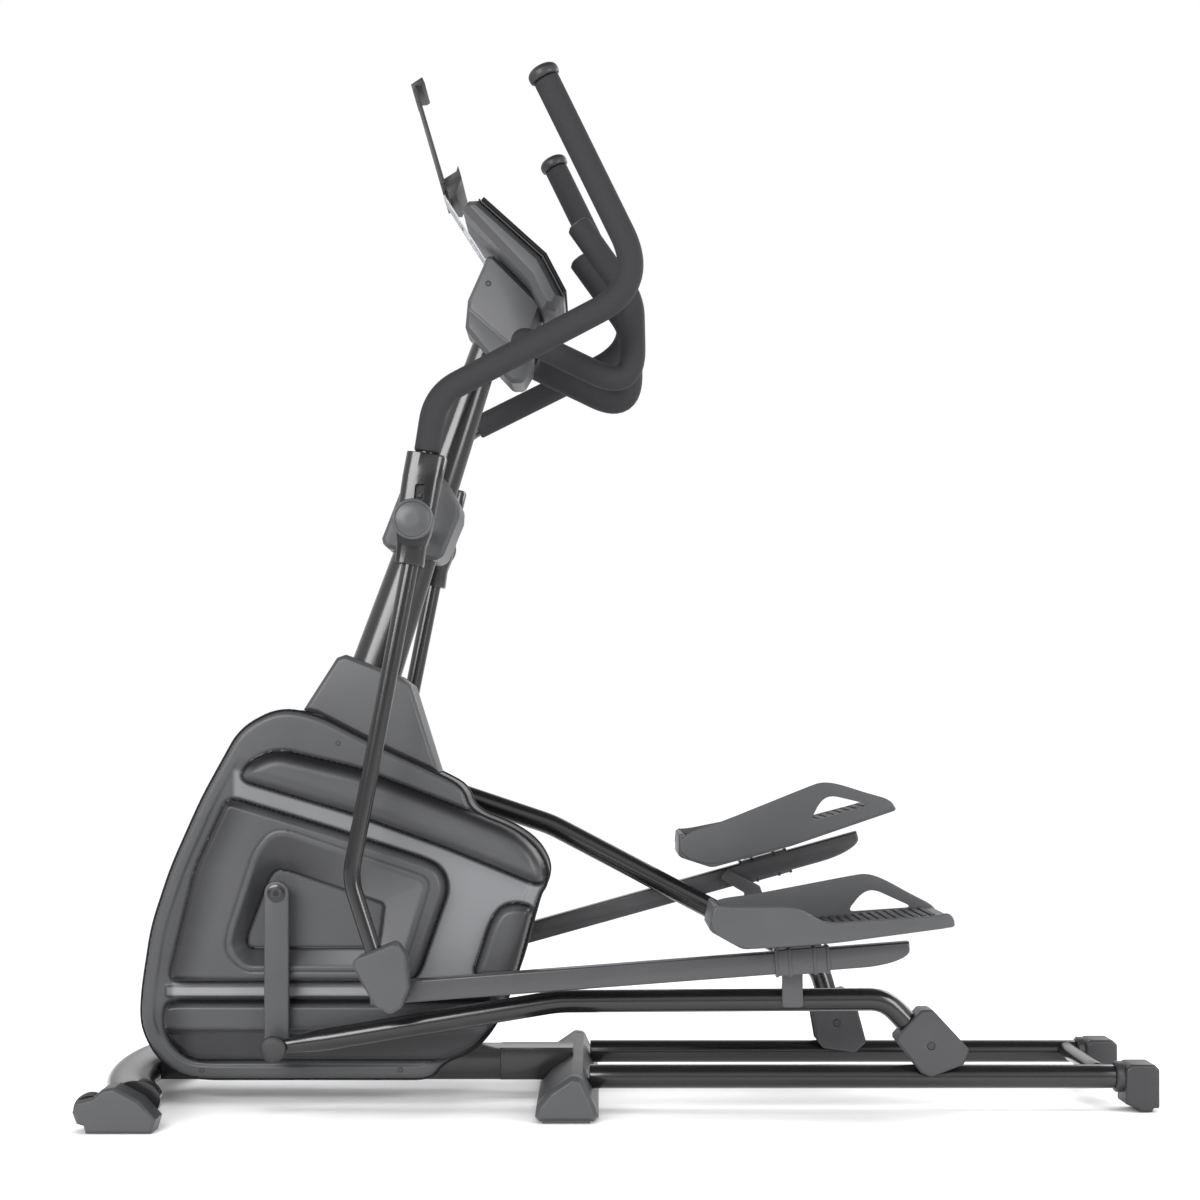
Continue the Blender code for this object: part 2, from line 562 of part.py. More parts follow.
HOUSING_BOX = [(-0.015, -0.041), (0.0, -0.047), (0.049, -0.029), (0.058, -0.006),
               (0.003, 0.0540), (-0.014, 0.0540), (-0.054, 0.010)]


def build_roller(side, y, pose):
    origin = (pose["roller"], 0, ROLLER_HEIGHT)
    outline = rounded(HOUSING_BOX, 0.005, 1)
    box = layered([(inset(outline, 0.003), 0.0935), (outline, 0.0965), (outline, 0.1435),
                   (inset(outline, 0.003), 0.1465)])
    room = [(0.080, -0.060), (0.080, -0.0030), (0.0535, -0.0010), (0.0010, 0.0495),
            (-0.0120, 0.0495), (-0.0495, 0.0100), (-0.080, 0.0060), (-0.080, -0.060)]
    bore = disc((0, 0), 0.0064, 0.0900, 0.1500, 16)
    passage = rod(bar_path()[-5:], BAR_RADIUS + GAP, 10)
    box = without(box, prism(room, 0.0985, 0.1415), bore, passage)
    place(f"{side}_roller_housing", mirrored(box, y), DARK_PLASTIC, origin, pose["bar"])
    axle = disc((0, 0), 0.0060, 0.0930, 0.1470, 16)
    place(f"{side}_roller_axle", mirrored(axle, y), GREY_STEEL, origin)
    wheel = loft([across(circle((0, 0), r, 20), p) for r, p in
                  ((0.0290, 0.1020), (0.0317, 0.1050), (0.0317, 0.1350), (0.0290, 0.1380),
                   (0.0063, 0.1380), (0.0063, 0.1020))], True)
    place(f"{side}_roller_wheel", mirrored(wheel, y), RUBBER, origin)


def pedal_frame(pose):
    """Where the pedal bar's pivot is, for a side at rest."""
    x, z = turn(PEDAL_PIVOT, pose["bar"])
    return (pose["roller"] + x, 0, ROLLER_HEIGHT + z)


BAR_HALF = 0.0165


def build_pedal_bar(side, y, pose):
    rings = []
    for inside in (0.0, TUBE_WALL):
        a, b = PEDAL_BAR_IN + inside, PEDAL_BAR_OUT - inside
        c = BAR_HALF - inside
        rings.append([[Vector((x, a, low)), Vector((x, b, low)), Vector((x, b, c)), Vector((x, a, c))]
                      for x, low in ((-0.5836, -c), (0.165, -c), (0.207, -c + 0.004),
                                     (0.2225, -c + 0.015))])
    tube = loft(rings[0] + rings[1][::-1], True)
    band = without(block(0.022, 0.101, PEDAL_BAR_IN + 0.0005, PEDAL_BAR_OUT + 0.002, -BAR_HALF - 0.002,
                         BAR_HALF + 0.003),
                   block(0.0, 0.12, PEDAL_BAR_IN - 0.02, PEDAL_BAR_OUT - 0.001, -BAR_HALF + 0.001,
                         BAR_HALF - 0.001))
    ribs = [block(x, x + 0.004, PEDAL_BAR_IN + 0.002, PEDAL_BAR_OUT + 0.0035, -BAR_HALF - 0.0035,
                  BAR_HALF + 0.0045) for x in (0.021, 0.041, 0.078, 0.098)]
    ribs = [without(rib, block(0.0, 0.12, PEDAL_BAR_IN - 0.02, PEDAL_BAR_OUT - 0.001,
                               -BAR_HALF + 0.001, BAR_HALF - 0.001)) for rib in ribs]
    end = disc((-PEDAL_BAR_LENGTH, 0), 0.0140, PEDAL_BAR_IN + 0.004, PEDAL_BAR_OUT + 0.0035, 16)
    tail = block(0.2185, 0.2225, PEDAL_BAR_IN + 0.0005, PEDAL_BAR_OUT - 0.0005, -0.0015,
                 BAR_HALF - 0.0005)
    bore = disc((0, 0), 0.0083, 0.10, 0.20, 16)
    bar = without(joined(tube, band, *ribs, end, tail), bore)
    place(f"{side}_pedal_bar", mirrored(bar, y), BLACK_STEEL, pedal_frame(pose), pose["pedal"])


PEDAL_BASE = [(0.1154, 0.2806), (0.1652, 0.2529), (0.300, 0.2625), (0.4782, 0.2865),
              (0.4694, 0.3040), (0.300, 0.2870), (0.240, 0.2830), (0.1180, 0.2950)]
OUTER_WALL = [(0.1154, 0.2806), (0.1652, 0.2529), (0.300, 0.2625), (0.4782, 0.2865),
              (0.4694, 0.3084), (0.4475, 0.3026), (0.2851, 0.2920), (0.2600, 0.3070),
              (0.2400, 0.3160), (0.1403, 0.3157), (0.1227, 0.3200)]
INNER_FIN = [(0.1170, 0.2830), (0.1652, 0.2560), (0.300, 0.2650), (0.4760, 0.2890),
             (0.4694, 0.3060), (0.4350, 0.3230), (0.3900, 0.3480), (0.3656, 0.3537),
             (0.3450, 0.3510), (0.1960, 0.3235), (0.1240, 0.3140)]
FIN_WINDOW = [(0.3350, 0.2960), (0.3560, 0.3230), (0.3720, 0.3280), (0.4330, 0.3030)]


def build_pedal(side, y, pose):
    origin, angle = (0.195, 0.2265), LEFT["pedal"]
    def shape(points):
        return local(points, origin, angle)

    base = prism(shape(PEDAL_BASE), PEDAL_IN, PEDAL_OUT)
    outer = prism(shape(OUTER_WALL), PEDAL_OUT - 0.007, PEDAL_OUT + 0.001)
    fin = without(prism(shape(INNER_FIN), PEDAL_IN - 0.001, PEDAL_IN + 0.006),
                  prism(shape(FIN_WINDOW), 0.05, 0.10))
    toe = prism(shape([(0.1154, 0.2806), (0.1290, 0.2806), (0.1330, 0.3150), (0.1235, 0.3170)]),
                PEDAL_IN + 0.002, PEDAL_OUT - 0.002)
    treads = [prism(shape([(x, 0.2800), (x + 0.012, 0.2810), (x + 0.010, z), (x + 0.002, z)]),
                    0.092, 0.208)
              for x, z in ((0.175, 0.2900), (0.215, 0.2880), (0.255, 0.2880), (0.295, 0.2905),
                           (0.335, 0.2945), (0.375, 0.2985), (0.415, 0.3025))]
    underside = prism(shape([(0.160, 0.240), (0.160, 0.2780), (0.300, 0.2820), (0.455, 0.2975),
                             (0.465, 0.270), (0.300, 0.240)]), PEDAL_IN + 0.008, PEDAL_OUT - 0.009)
    seat = block(0.030, 0.092, 0.158, 0.180, BAR_HALF + 0.0048, 0.053)
    pedal = joined(without(joined(base, outer, fin, toe), underside), seat, *treads)
    place(f"{side}_pedal", mirrored(pedal, y), GREY_PLASTIC, pedal_frame(pose), pose["pedal"])


def build_swing_arm(side, y, pose):
    origin = (SWING_AXIS[0], 0, SWING_AXIS[1])
    sx, sz = SWING_AXIS

    def at(x, z, across_y=SWING_PLANE):
        return Vector((x - sx, across_y, z - sz))

    low = bent([at(-0.3200, 0.8400), at(-0.4128, 0.3560), at(-0.3520, 0.1680)], [0.10], 3)
    tube = pipe(low, SWING_RADIUS, SWING_RADIUS - TUBE_WALL, 10)
    rings = [((-0.3250, 0.8195), 0.0190, 0.0217), ((-0.3215, 0.8480), 0.0190, 0.0217),
             ((-0.3185, 0.8700), 0.0230, 0.0270), ((-0.3090, 0.9300), 0.0230, 0.0290),
             ((-0.2985, 0.9810), 0.0225, 0.0300)]
    path = [at(x, z) for (x, z), _, _ in rings]
    sleeve = loft([oval(f, a, b, 12) for f, (_, a, b) in zip(frames(path), rings)])
    hub = disc((0, 0), 0.0277, 0.166, 0.2220, 16)
    pin = disc(local([(-0.357, 0.184)], SWING_AXIS)[0], 0.0120, 0.1872, 0.2100, 10)
    arm = joined(sleeve, hub, tube, pin)
    bore = disc((0, 0), 0.0103, 0.15, 0.2215, 16)
    handle_axis = handle_path()
    ahead = (handle_axis[1] - handle_axis[0]).normalized()
    socket = rod([handle_axis[0] - ahead * GAP, handle_axis[0] + ahead * 0.06],
                 HANDLE_RADIUS + GAP, 10)
    x, z = local([(-0.3085, 0.925)], SWING_AXIS)[0]
    keyhole = prism([(x - 0.009, z - 0.020), (x + 0.005, z - 0.022), (x + 0.008, z + 0.010),
                     (x - 0.006, z + 0.010)], SWING_PLANE + 0.0160, 0.24)
    arm = without(arm, bore, socket, keyhole)
    place(f"{side}_swing_arm", mirrored(arm, y), BLACK_STEEL, origin, pose["swing"])
    cap = layered([(circle((0, 0), 0.0302, 24), 0.2240), (circle((0, 0), 0.0302, 24), 0.2290),
                   (circle((0, 0), 0.0275, 24), 0.2315)])
    place(f"{side}_pivot_cap", mirrored(cap, y), GREY_PLASTIC, origin, pose["swing"])
    shield = rounded([(-0.409, 0.233), (-0.398, 0.243), (-0.343, 0.265), (-0.329, 0.244),
                      (-0.324, 0.196), (-0.334, 0.168), (-0.352, 0.157), (-0.376, 0.172),
                      (-0.402, 0.218)], 0.006, 1)
    shield = local(shield, SWING_AXIS)
    cover = layered([(shield, 0.1868), (shield, 0.2180), (inset(shield, 0.004), 0.2225)])
    room = prism(inset(shield, 0.003), 0.15, 0.2190)
    passage = rod([low[-2], low[-1]], SWING_RADIUS + GAP, 10)
    cover = without(cover, room, passage)
    place(f"{side}_boss_cover", mirrored(cover, y), GREY_PLASTIC, origin, pose["swing"])


def handle_path():
    """Centre line of the moving handlebar, from the socket to the top, seen from the pivot."""
    sx, sz = SWING_AXIS
    corners = [(-0.3085, SWING_PLANE, 0.925), (-0.2860, 0.2020, 1.068), (0.0256, 0.2150, 1.2286),
               (-0.1231, 0.2220, 1.5280)]
    return bent([(x - sx, w, z - sz) for x, w, z in corners], [0.075, 0.085], 4)


def build_handlebar(side, y, pose):
    origin = (SWING_AXIS[0], 0, SWING_AXIS[1])
    path = handle_path()
    tube = pipe(path, HANDLE_RADIUS, HANDLE_RADIUS - TUBE_WALL, 10)
    place(f"{side}_handlebar", mirrored(tube, y), BLACK_STEEL, origin, pose["swing"], smooth=True)
    along = (path[1] - path[0]).normalized()
    if side == "left":
        start = path[0] + along * ((0.9835 - 0.925) / along.z)
        covered = [start] + path[1:]
    else:
        covered = path[5:]
    places = dict(zip((tuple(p) for p in path), frames(path)))
    first = places[tuple(path[0])]
    rows = [(p, *places[tuple(p)][1:]) if tuple(p) in places else (p, *first[1:]) for p in covered]
    sleeve = loft([oval(f, FOAM_RADIUS, FOAM_RADIUS, 10) for f in rows]
                  + [oval(f, HANDLE_RADIUS + 0.0004, HANDLE_RADIUS + 0.0004, 10) for f in rows[::-1]],
                  True)
    place(f"{side}_foam_grip", mirrored(sleeve, y), FOAM, origin, pose["swing"], smooth=True)
    tip = path[-1]
    axis = (path[-1] - path[-2]).normalized()
    cap = turned([(0, 0), (GAP, 0.0205), (0.004, 0.0232), (0.010, 0.0232), (0.0165, 0.0180),
                  (0.0195, 0.0090), (0.0195, 0)], tip, axis, 12)
    place(f"{side}_grip_cap", mirrored(cap, y), DARK_PLASTIC, origin, pose["swing"], smooth=True)


# ---------------------------------------------------------------- console end
CONSOLE = [(-0.253, 1.366), (-0.243, 1.378), (-0.229, 1.379), (-0.132, 1.292), (-0.101, 1.233),
           (-0.112, 1.210), (-0.131, 1.216), (-0.153, 1.259)]
FACE_LINE = CONSOLE[2:5]
PLATE_LOW, PLATE_HIGH = (-0.2850, 1.4150), (-0.3290, 1.5630)


def build_console():
    outline = rounded([(-0.216, 1.321), (-0.250, 1.245), (-0.254, 1.201), (-0.205, 1.140),
                       (-0.182, 1.116), (-0.164, 1.116), (-0.150, 1.140), (-0.146, 1.202),
                       (-0.1330, 1.2380)], 0.006, 1)
    neck = layered([(inset(outline, 0.006), -0.046), (outline, -0.038), (outline, 0.038),
                    (inset(outline, 0.006), 0.046)])
    hollow = prism(inset(outline, SHELL_WALL), -0.041, 0.041)
    under_console = prism(inset(CONSOLE, -2 * GAP), -0.14, 0.14)
    place("console_neck", without(neck, hollow, mast_core(), under_console), GREY_PLASTIC)
    body = layered([(inset(CONSOLE, 0.010), -0.132), (CONSOLE, -0.116), (CONSOLE, 0.116),
                    (inset(CONSOLE, 0.010), 0.132)])
    room = prism([(-0.238, 1.359), (-0.143, 1.272), (-0.116, 1.226), (-0.090, 1.238),
                  (-0.120, 1.310), (-0.215, 1.395)], -0.108, 0.108)
    body = without(body, room)
    place("console_body", body, GREY_PLASTIC)
    low = [(x + 0.0004, z + 0.0004) for x, z in FACE_LINE]
    top = [(x + 0.0020, z + 0.0020) for x, z in FACE_LINE]
    raised = [(x + 0.0032, z + 0.0030) for x, z in FACE_LINE]
    face = layered([(top + low[::-1], -0.122), (raised + low[::-1], -0.112),
                    (raised + low[::-1], 0.112), (top + low[::-1], 0.122)])
    place("console_face", face, GLOSS_PLASTIC)


def along_plate(distance, out):
    """A side-view point on the tablet holder: distance up from its foot, out towards the user."""
    rise = Vector((PLATE_HIGH[0] - PLATE_LOW[0], PLATE_HIGH[1] - PLATE_LOW[1])).normalized()
    normal = Vector((rise.y, -rise.x))
    return tuple(Vector(PLATE_LOW) + rise * distance + normal * out)


def build_tablet_holder():
    strip = [(-0.2222, 1.3105), (-0.2780, 1.3975), (-0.2872, 1.4125), (-0.2890, 1.4110),
             (-0.2800, 1.3965), (-0.2240, 1.3090)]
    tab = prism(strip, -0.030, 0.030)
    window = prism([(-0.2300, 1.3300), (-0.2570, 1.3720), (-0.2650, 1.3670), (-0.2380, 1.3250)],
                   -0.018, 0.018)
    place("holder_bracket", without(tab, window), GREY_STEEL)
    back = prism([along_plate(d, o) for d, o in ((0.0, 0.0035), (0.0, -0.0045), (0.150, -0.0035),
                                                (0.150, 0.0035))], -0.085, 0.085)
    ledge = prism([along_plate(d, o) for d, o in ((-0.012, 0.0030), (-0.016, 0.0150), (0.004, 0.0300),
                                                 (0.024, 0.0300), (0.016, 0.0250), (0.010, 0.0030))],
                  -0.070, 0.070)
    grooves = [prism([along_plate(d, o) for d, o in ((-0.01, -0.0005), (-0.01, 0.0006), (0.16, 0.0006),
                                                    (0.16, -0.0005))], y - 0.0045, y + 0.0045)
               for y in (-0.040, 0.040)]
    windows = [prism([along_plate(d, o) for d, o in ((lo, -0.02), (lo, 0.02), (lo + 0.045, 0.02),
                                                    (lo + 0.045, -0.02))], -0.026, 0.026)
               for lo in (0.030, 0.090)]
    plate = without(joined(back, ledge), *windows)
    plate = without(plate, *grooves)
    place("holder_plate", plate, DARK_PLASTIC)
    rods = [prism([along_plate(d, o) for d, o in ((0.070, -0.0002), (0.070, 0.0003), (0.172, 0.0003),
                                                 (0.172, -0.0002))], y - 0.0040, y + 0.0040)
            for y in (-0.040, 0.040)]
    hook = prism([along_plate(d, o) for d, o in ((0.160, -0.0040), (0.172, -0.0040), (0.178, 0.0160),
                                                (0.168, 0.0175), (0.166, 0.0120), (0.168, 0.0020),
                                                (0.160, 0.0020))], -0.048, 0.048)
    place("holder_clamp", joined(hook, *rods), DARK_PLASTIC)


def build_pulse_handle(side, y):
    path = bent([(-0.1620, 0.0466, 1.1730), (-0.1620, 0.1040, 1.1730), (0.0079, 0.1050, 1.0914),
                 (0.0049, 0.1050, 1.2300), (-0.0776, 0.1090, 1.3449)], [0.032, 0.075, 0.080], 4)
    bar = rod(path, 0.0190, 10, upright=(1, 0, 0))
    place(f"{side}_pulse_handle", mirrored(bar, y), FOAM, smooth=True)


def main():
    clear_scene()
    build_base()
    build_mast()
    build_covers()
    build_drive()
    build_console()
    build_tablet_holder()
    for side, pose in SIDES.items():
        y = pose["y"]
        build_base_side(side, y)
        build_shell(side, y)
        build_crank_arm(side, y, pose)
        build_roller_bar(side, y, pose)
        build_roller(side, y, pose)
        build_pedal_bar(side, y, pose)
        build_pedal(side, y, pose)
        build_swing_arm(side, y, pose)
        build_handlebar(side, y, pose)
        build_pulse_handle(side, y)


main()
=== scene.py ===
"""The looks of a home elliptical trainer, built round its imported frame.

Every piece rides on a body of the frame. Lengths are metres: +X towards the user, +Z up. Shapes on
the two sides are drawn once, on +Y, and mirrored for the side on -Y.
"""

import json
import logging
import math
from dataclasses import dataclass, field
from enum import Enum
from typing import Callable, Iterable, Sequence

import bmesh
import bpy
import numpy as np
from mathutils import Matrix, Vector


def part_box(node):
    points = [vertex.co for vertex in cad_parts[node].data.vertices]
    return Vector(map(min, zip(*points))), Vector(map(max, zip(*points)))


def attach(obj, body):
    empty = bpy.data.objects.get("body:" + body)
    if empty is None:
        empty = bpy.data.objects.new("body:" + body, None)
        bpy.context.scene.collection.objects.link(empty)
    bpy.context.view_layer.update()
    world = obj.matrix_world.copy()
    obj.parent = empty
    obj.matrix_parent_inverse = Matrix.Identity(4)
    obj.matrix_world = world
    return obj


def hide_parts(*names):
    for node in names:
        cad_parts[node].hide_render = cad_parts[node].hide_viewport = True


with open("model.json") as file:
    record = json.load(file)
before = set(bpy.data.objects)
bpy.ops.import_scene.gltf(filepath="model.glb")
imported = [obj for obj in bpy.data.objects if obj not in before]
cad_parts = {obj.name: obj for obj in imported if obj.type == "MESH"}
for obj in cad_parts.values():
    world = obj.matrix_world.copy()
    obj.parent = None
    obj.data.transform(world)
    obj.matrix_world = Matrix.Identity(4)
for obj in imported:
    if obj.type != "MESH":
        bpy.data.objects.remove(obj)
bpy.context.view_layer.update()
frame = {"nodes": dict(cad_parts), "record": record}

LOG = logging.getLogger("trainer")
MIX_FIRST, MIX_SECOND, MIX_RESULT = 6, 7, 2
RANDOM_MAX, RANDOM_VALUE = 3, 1
EDGE_ANGLE = 28.0

Point2 = tuple[float, float]
CRANK_DRAWN_X = -0.536
AXLE_LOW, AXLE_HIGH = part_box("crank_axle")
SHIFT_X = (AXLE_LOW.x + AXLE_HIGH.x) / 2 - CRANK_DRAWN_X


# ---------------------------------------------------------------- finishes
class Surface(Enum):
    """How a finish's fine relief is made."""

    PAINT = "paint"
    MOULDED = "moulded"
    FOAM = "foam"
    RUBBER = "rubber"
    STEEL = "steel"
    CAST = "cast"


def node(tree: bpy.types.NodeTree, kind: str, **settings: object) -> bpy.types.Node:
    """Add a node to a tree.

    Args:
        tree: The node tree.
        kind: The node's type name.
        **settings: Values for the node's own properties.

    Returns:
        The new node.
    """
    made = tree.nodes.new(kind)
    for name, value in settings.items():
        setattr(made, name, value)
    return made


def group_tree(name: str, inputs: dict[str, float], outputs: Sequence[str]) -> bpy.types.NodeTree:
    """Start a shader node group with a vector input, named values and float outputs.

    Args:
        name: The group's name.
        inputs: Value inputs and their defaults.
        outputs: Names of the float outputs.

    Returns:
        The group's tree.
    """
    tree = bpy.data.node_groups.new(name, "ShaderNodeTree")
    tree.interface.new_socket("Vector", in_out="INPUT", socket_type="NodeSocketVector")
    for label, default in inputs.items():
        socket = tree.interface.new_socket(label, in_out="INPUT", socket_type="NodeSocketFloat")
        socket.default_value = default
    for label in outputs:
        tree.interface.new_socket(label, in_out="OUTPUT", socket_type="NodeSocketFloat")
    return tree


def grain_group() -> bpy.types.NodeTree:
    """Fine relief: small noise with sparse pits, as on moulded, sprayed and foamed surfaces.

    Returns:
        A group with Height and Pits outputs.
    """
    tree = group_tree("surface_grain", {"Scale": 900.0, "Pitting": 0.3}, ("Height", "Pits"))
    given, out = node(tree, "NodeGroupInput"), node(tree, "NodeGroupOutput")
    noise = node(tree, "ShaderNodeTexNoise")
    noise.inputs["Detail"].default_value = 3.0
    cells = node(tree, "ShaderNodeTexVoronoi")
    pits = node(tree, "ShaderNodeMapRange")
    pits.inputs["From Min"].default_value = 0.0
    pits.inputs["From Max"].default_value = 0.55
    mix = node(tree, "ShaderNodeMix", data_type="FLOAT")
    tree.links.new(given.outputs["Vector"], noise.inputs["Vector"])
    tree.links.new(given.outputs["Vector"], cells.inputs["Vector"])
    tree.links.new(given.outputs["Scale"], noise.inputs["Scale"])
    tree.links.new(given.outputs["Scale"], cells.inputs["Scale"])
    tree.links.new(cells.outputs["Distance"], pits.inputs["Value"])
    tree.links.new(given.outputs["Pitting"], mix.inputs["Factor"])
    tree.links.new(noise.outputs["Fac"], mix.inputs["A"])
    tree.links.new(pits.outputs["Result"], mix.inputs["B"])
    tree.links.new(mix.outputs["Result"], out.inputs["Height"])
    tree.links.new(pits.outputs["Result"], out.inputs["Pits"])
    return tree


def drift_group() -> bpy.types.NodeTree:
    """Slow change of tone over a piece, from handling, moulding flow and uneven light wear.

    Returns:
        A group with a Mask output around 0.5.
    """
    tree = group_tree("tone_drift", {"Scale": 6.0, "Contrast": 0.5}, ("Mask",))
    given, out = node(tree, "NodeGroupInput"), node(tree, "NodeGroupOutput")
    noise = node(tree, "ShaderNodeTexNoise")
    noise.inputs["Detail"].default_value = 5.0
    noise.inputs["Roughness"].default_value = 0.6
    centre = node(tree, "ShaderNodeMath", operation="SUBTRACT")
    centre.inputs[1].default_value = 0.5
    gain = node(tree, "ShaderNodeMath", operation="MULTIPLY")
    back = node(tree, "ShaderNodeMath", operation="ADD", use_clamp=True)
    back.inputs[1].default_value = 0.5
    tree.links.new(given.outputs["Vector"], noise.inputs["Vector"])
    tree.links.new(given.outputs["Scale"], noise.inputs["Scale"])
    tree.links.new(noise.outputs["Fac"], centre.inputs[0])
    tree.links.new(centre.outputs[0], gain.inputs[0])
    tree.links.new(given.outputs["Contrast"], gain.inputs[1])
    tree.links.new(gain.outputs[0], back.inputs[0])
    tree.links.new(back.outputs[0], out.inputs["Mask"])
    return tree


def dust_group() -> bpy.types.NodeTree:
    """A thin film of dust that gathers on what faces up.

    Returns:
        A group with a Mask output.
    """
    tree = group_tree("settled_dust", {"Amount": 0.1}, ("Mask",))
    given, out = node(tree, "NodeGroupInput"), node(tree, "NodeGroupOutput")
    facing = node(tree, "ShaderNodeNewGeometry")
    split = node(tree, "ShaderNodeSeparateXYZ")
    ramp = node(tree, "ShaderNodeMapRange")
    ramp.inputs["From Min"].default_value = 0.55
    ramp.inputs["From Max"].default_value = 1.0
    noise = node(tree, "ShaderNodeTexNoise")
    noise.inputs["Scale"].default_value = 160.0
    noise.inputs["Detail"].default_value = 4.0
    first = node(tree, "ShaderNodeMath", operation="MULTIPLY")
    second = node(tree, "ShaderNodeMath", operation="MULTIPLY", use_clamp=True)
    tree.links.new(facing.outputs["Normal"], split.inputs[0])
    tree.links.new(split.outputs["Z"], ramp.inputs["Value"])
    tree.links.new(given.outputs["Vector"], noise.inputs["Vector"])
    tree.links.new(noise.outputs["Fac"], first.inputs[0])
    tree.links.new(ramp.outputs["Result"], first.inputs[1])
    tree.links.new(first.outputs[0], second.inputs[0])
    tree.links.new(given.outputs["Amount"], second.inputs[1])
    tree.links.new(second.outputs[0], out.inputs["Mask"])
    return tree


GRAIN, DRIFT, DUST = grain_group(), drift_group(), dust_group()


@dataclass(frozen=True)
class Finish:
    """One finish: its colour, its sheen and the scale and depth of its fine relief."""

    name: str
    slot: str
    surface: Surface
    colour: tuple[float, float, float]
    roughness: float
    metallic: float = 0.0
    grain_scale: float = 900.0
    grain_depth: float = 0.00004
    pitting: float = 0.2
    tone: float = 0.12
    sheen: float = 0.05
    dust: float = 0.06
    coat: float = 0.0
    specular: float = 0.5
    # True adds painted shade in the grooves and painted light on recessed fields, from the mesh's crease and
    # field attributes.
    relief: bool = False

    def material(self) -> bpy.types.Material:
        """Build the node material, or fetch it if it has been built.

        Returns:
            The material.
        """
        known = bpy.data.materials.get(self.name)
        if known:
            return known
        made = bpy.data.materials.new(self.name)
        made.use_nodes = True
        tree = made.node_tree
        shader = tree.nodes["Principled BSDF"]
        shader.inputs["Metallic"].default_value = self.metallic
        shader.inputs["Coat Weight"].default_value = self.coat
        shader.inputs["Coat Roughness"].default_value = 0.08
        shader.inputs["Specular IOR Level"].default_value = self.specular
        place = node(tree, "ShaderNodeTexCoord").outputs["Object"]
        place = self.stretched(tree, place)
        grain = self.grouped(tree, GRAIN, place, Scale=self.grain_scale, Pitting=self.pitting)
        drift = self.grouped(tree, DRIFT, place, Scale=7.0, Contrast=1.6)
        film = self.grouped(tree, DUST, place, Amount=self.dust)
        paint = self.colour_nodes(tree, grain, drift, film)
        # Painted shade and painted light, read from the shell's attributes.
        if self.relief:
            paint = self.painted_shading_nodes(tree, paint)
        tree.links.new(paint, shader.inputs["Base Color"])
        rough = node(tree, "ShaderNodeMapRange")
        rough.inputs["To Min"].default_value = self.roughness - self.sheen
        rough.inputs["To Max"].default_value = self.roughness + self.sheen
        tree.links.new(drift.outputs["Mask"], rough.inputs["Value"])
        tree.links.new(rough.outputs["Result"], shader.inputs["Roughness"])
        bump = node(tree, "ShaderNodeBump")
        bump.inputs["Distance"].default_value = self.grain_depth
        bump.inputs["Strength"].default_value = 1.0
        tree.links.new(grain.outputs["Height"], bump.inputs["Height"])
        tree.links.new(bump.outputs["Normal"], shader.inputs["Normal"])
        return made

    def stretched(
        self, tree: bpy.types.NodeTree, place: bpy.types.NodeSocket
    ) -> bpy.types.NodeSocket:
        """Draw the pattern out along X on brushed steel; leave it alone on everything else.

        Args:
            tree: The material's tree.
            place: The coordinates.

        Returns:
            The coordinates to use.
        """
        if self.surface is not Surface.STEEL:
            return place
        mapping = node(tree, "ShaderNodeMapping")
        mapping.inputs["Scale"].default_value = (0.06, 1.0, 1.0)
        tree.links.new(place, mapping.inputs["Vector"])
        return mapping.outputs["Vector"]

    @staticmethod
    def grouped(
        tree: bpy.types.NodeTree,
        group: bpy.types.NodeTree,
        place: bpy.types.NodeSocket,
        **values: float,
    ) -> bpy.types.Node:
        """Put a node group in the material with its own values.

        Args:
            tree: The material's tree.
            group: The group.
            place: Coordinates for its Vector input.
            **values: Its other inputs.

        Returns:
            The group node.
        """
        made = node(tree, "ShaderNodeGroup", node_tree=group)
        tree.links.new(place, made.inputs["Vector"])
        for label, value in values.items():
            made.inputs[label].default_value = value
        return made

    def colour_nodes(
        self,
        tree: bpy.types.NodeTree,
        grain: bpy.types.Node,
        drift: bpy.types.Node,
        film: bpy.types.Node,
    ) -> bpy.types.NodeSocket:
        """Wire the colour: tone drift, darker pits and a film of dust.

        Args:
            tree: The material's tree.
            grain: The fine relief group.
            drift: The tone group.
            film: The dust group.

        Returns:
            The colour.
        """
        low = tuple(c * (1 - self.tone) for c in self.colour)
        high = tuple(c * (1 + self.tone) for c in self.colour)
        body = node(tree, "ShaderNodeMix", data_type="RGBA")
        body.inputs[MIX_FIRST].default_value = (*low, 1)
        body.inputs[MIX_SECOND].default_value = (*high, 1)
        tree.links.new(drift.outputs["Mask"], body.inputs["Factor"])
        speck = node(tree, "ShaderNodeMix", data_type="RGBA", blend_type="MULTIPLY")
        depth = 0.45 if self.surface in (Surface.FOAM, Surface.CAST, Surface.RUBBER) else 0.15
        speck.inputs["Factor"].default_value = depth
        tree.links.new(body.outputs[MIX_RESULT], speck.inputs[MIX_FIRST])
        tree.links.new(grain.outputs["Pits"], speck.inputs[MIX_SECOND])
        dusty = node(tree, "ShaderNodeMix", data_type="RGBA")
        dusty.inputs[MIX_SECOND].default_value = (0.30, 0.30, 0.30, 1)
        tree.links.new(film.outputs["Mask"], dusty.inputs["Factor"])
        tree.links.new(speck.outputs[MIX_RESULT], dusty.inputs[MIX_FIRST])
        return dusty.outputs[MIX_RESULT]

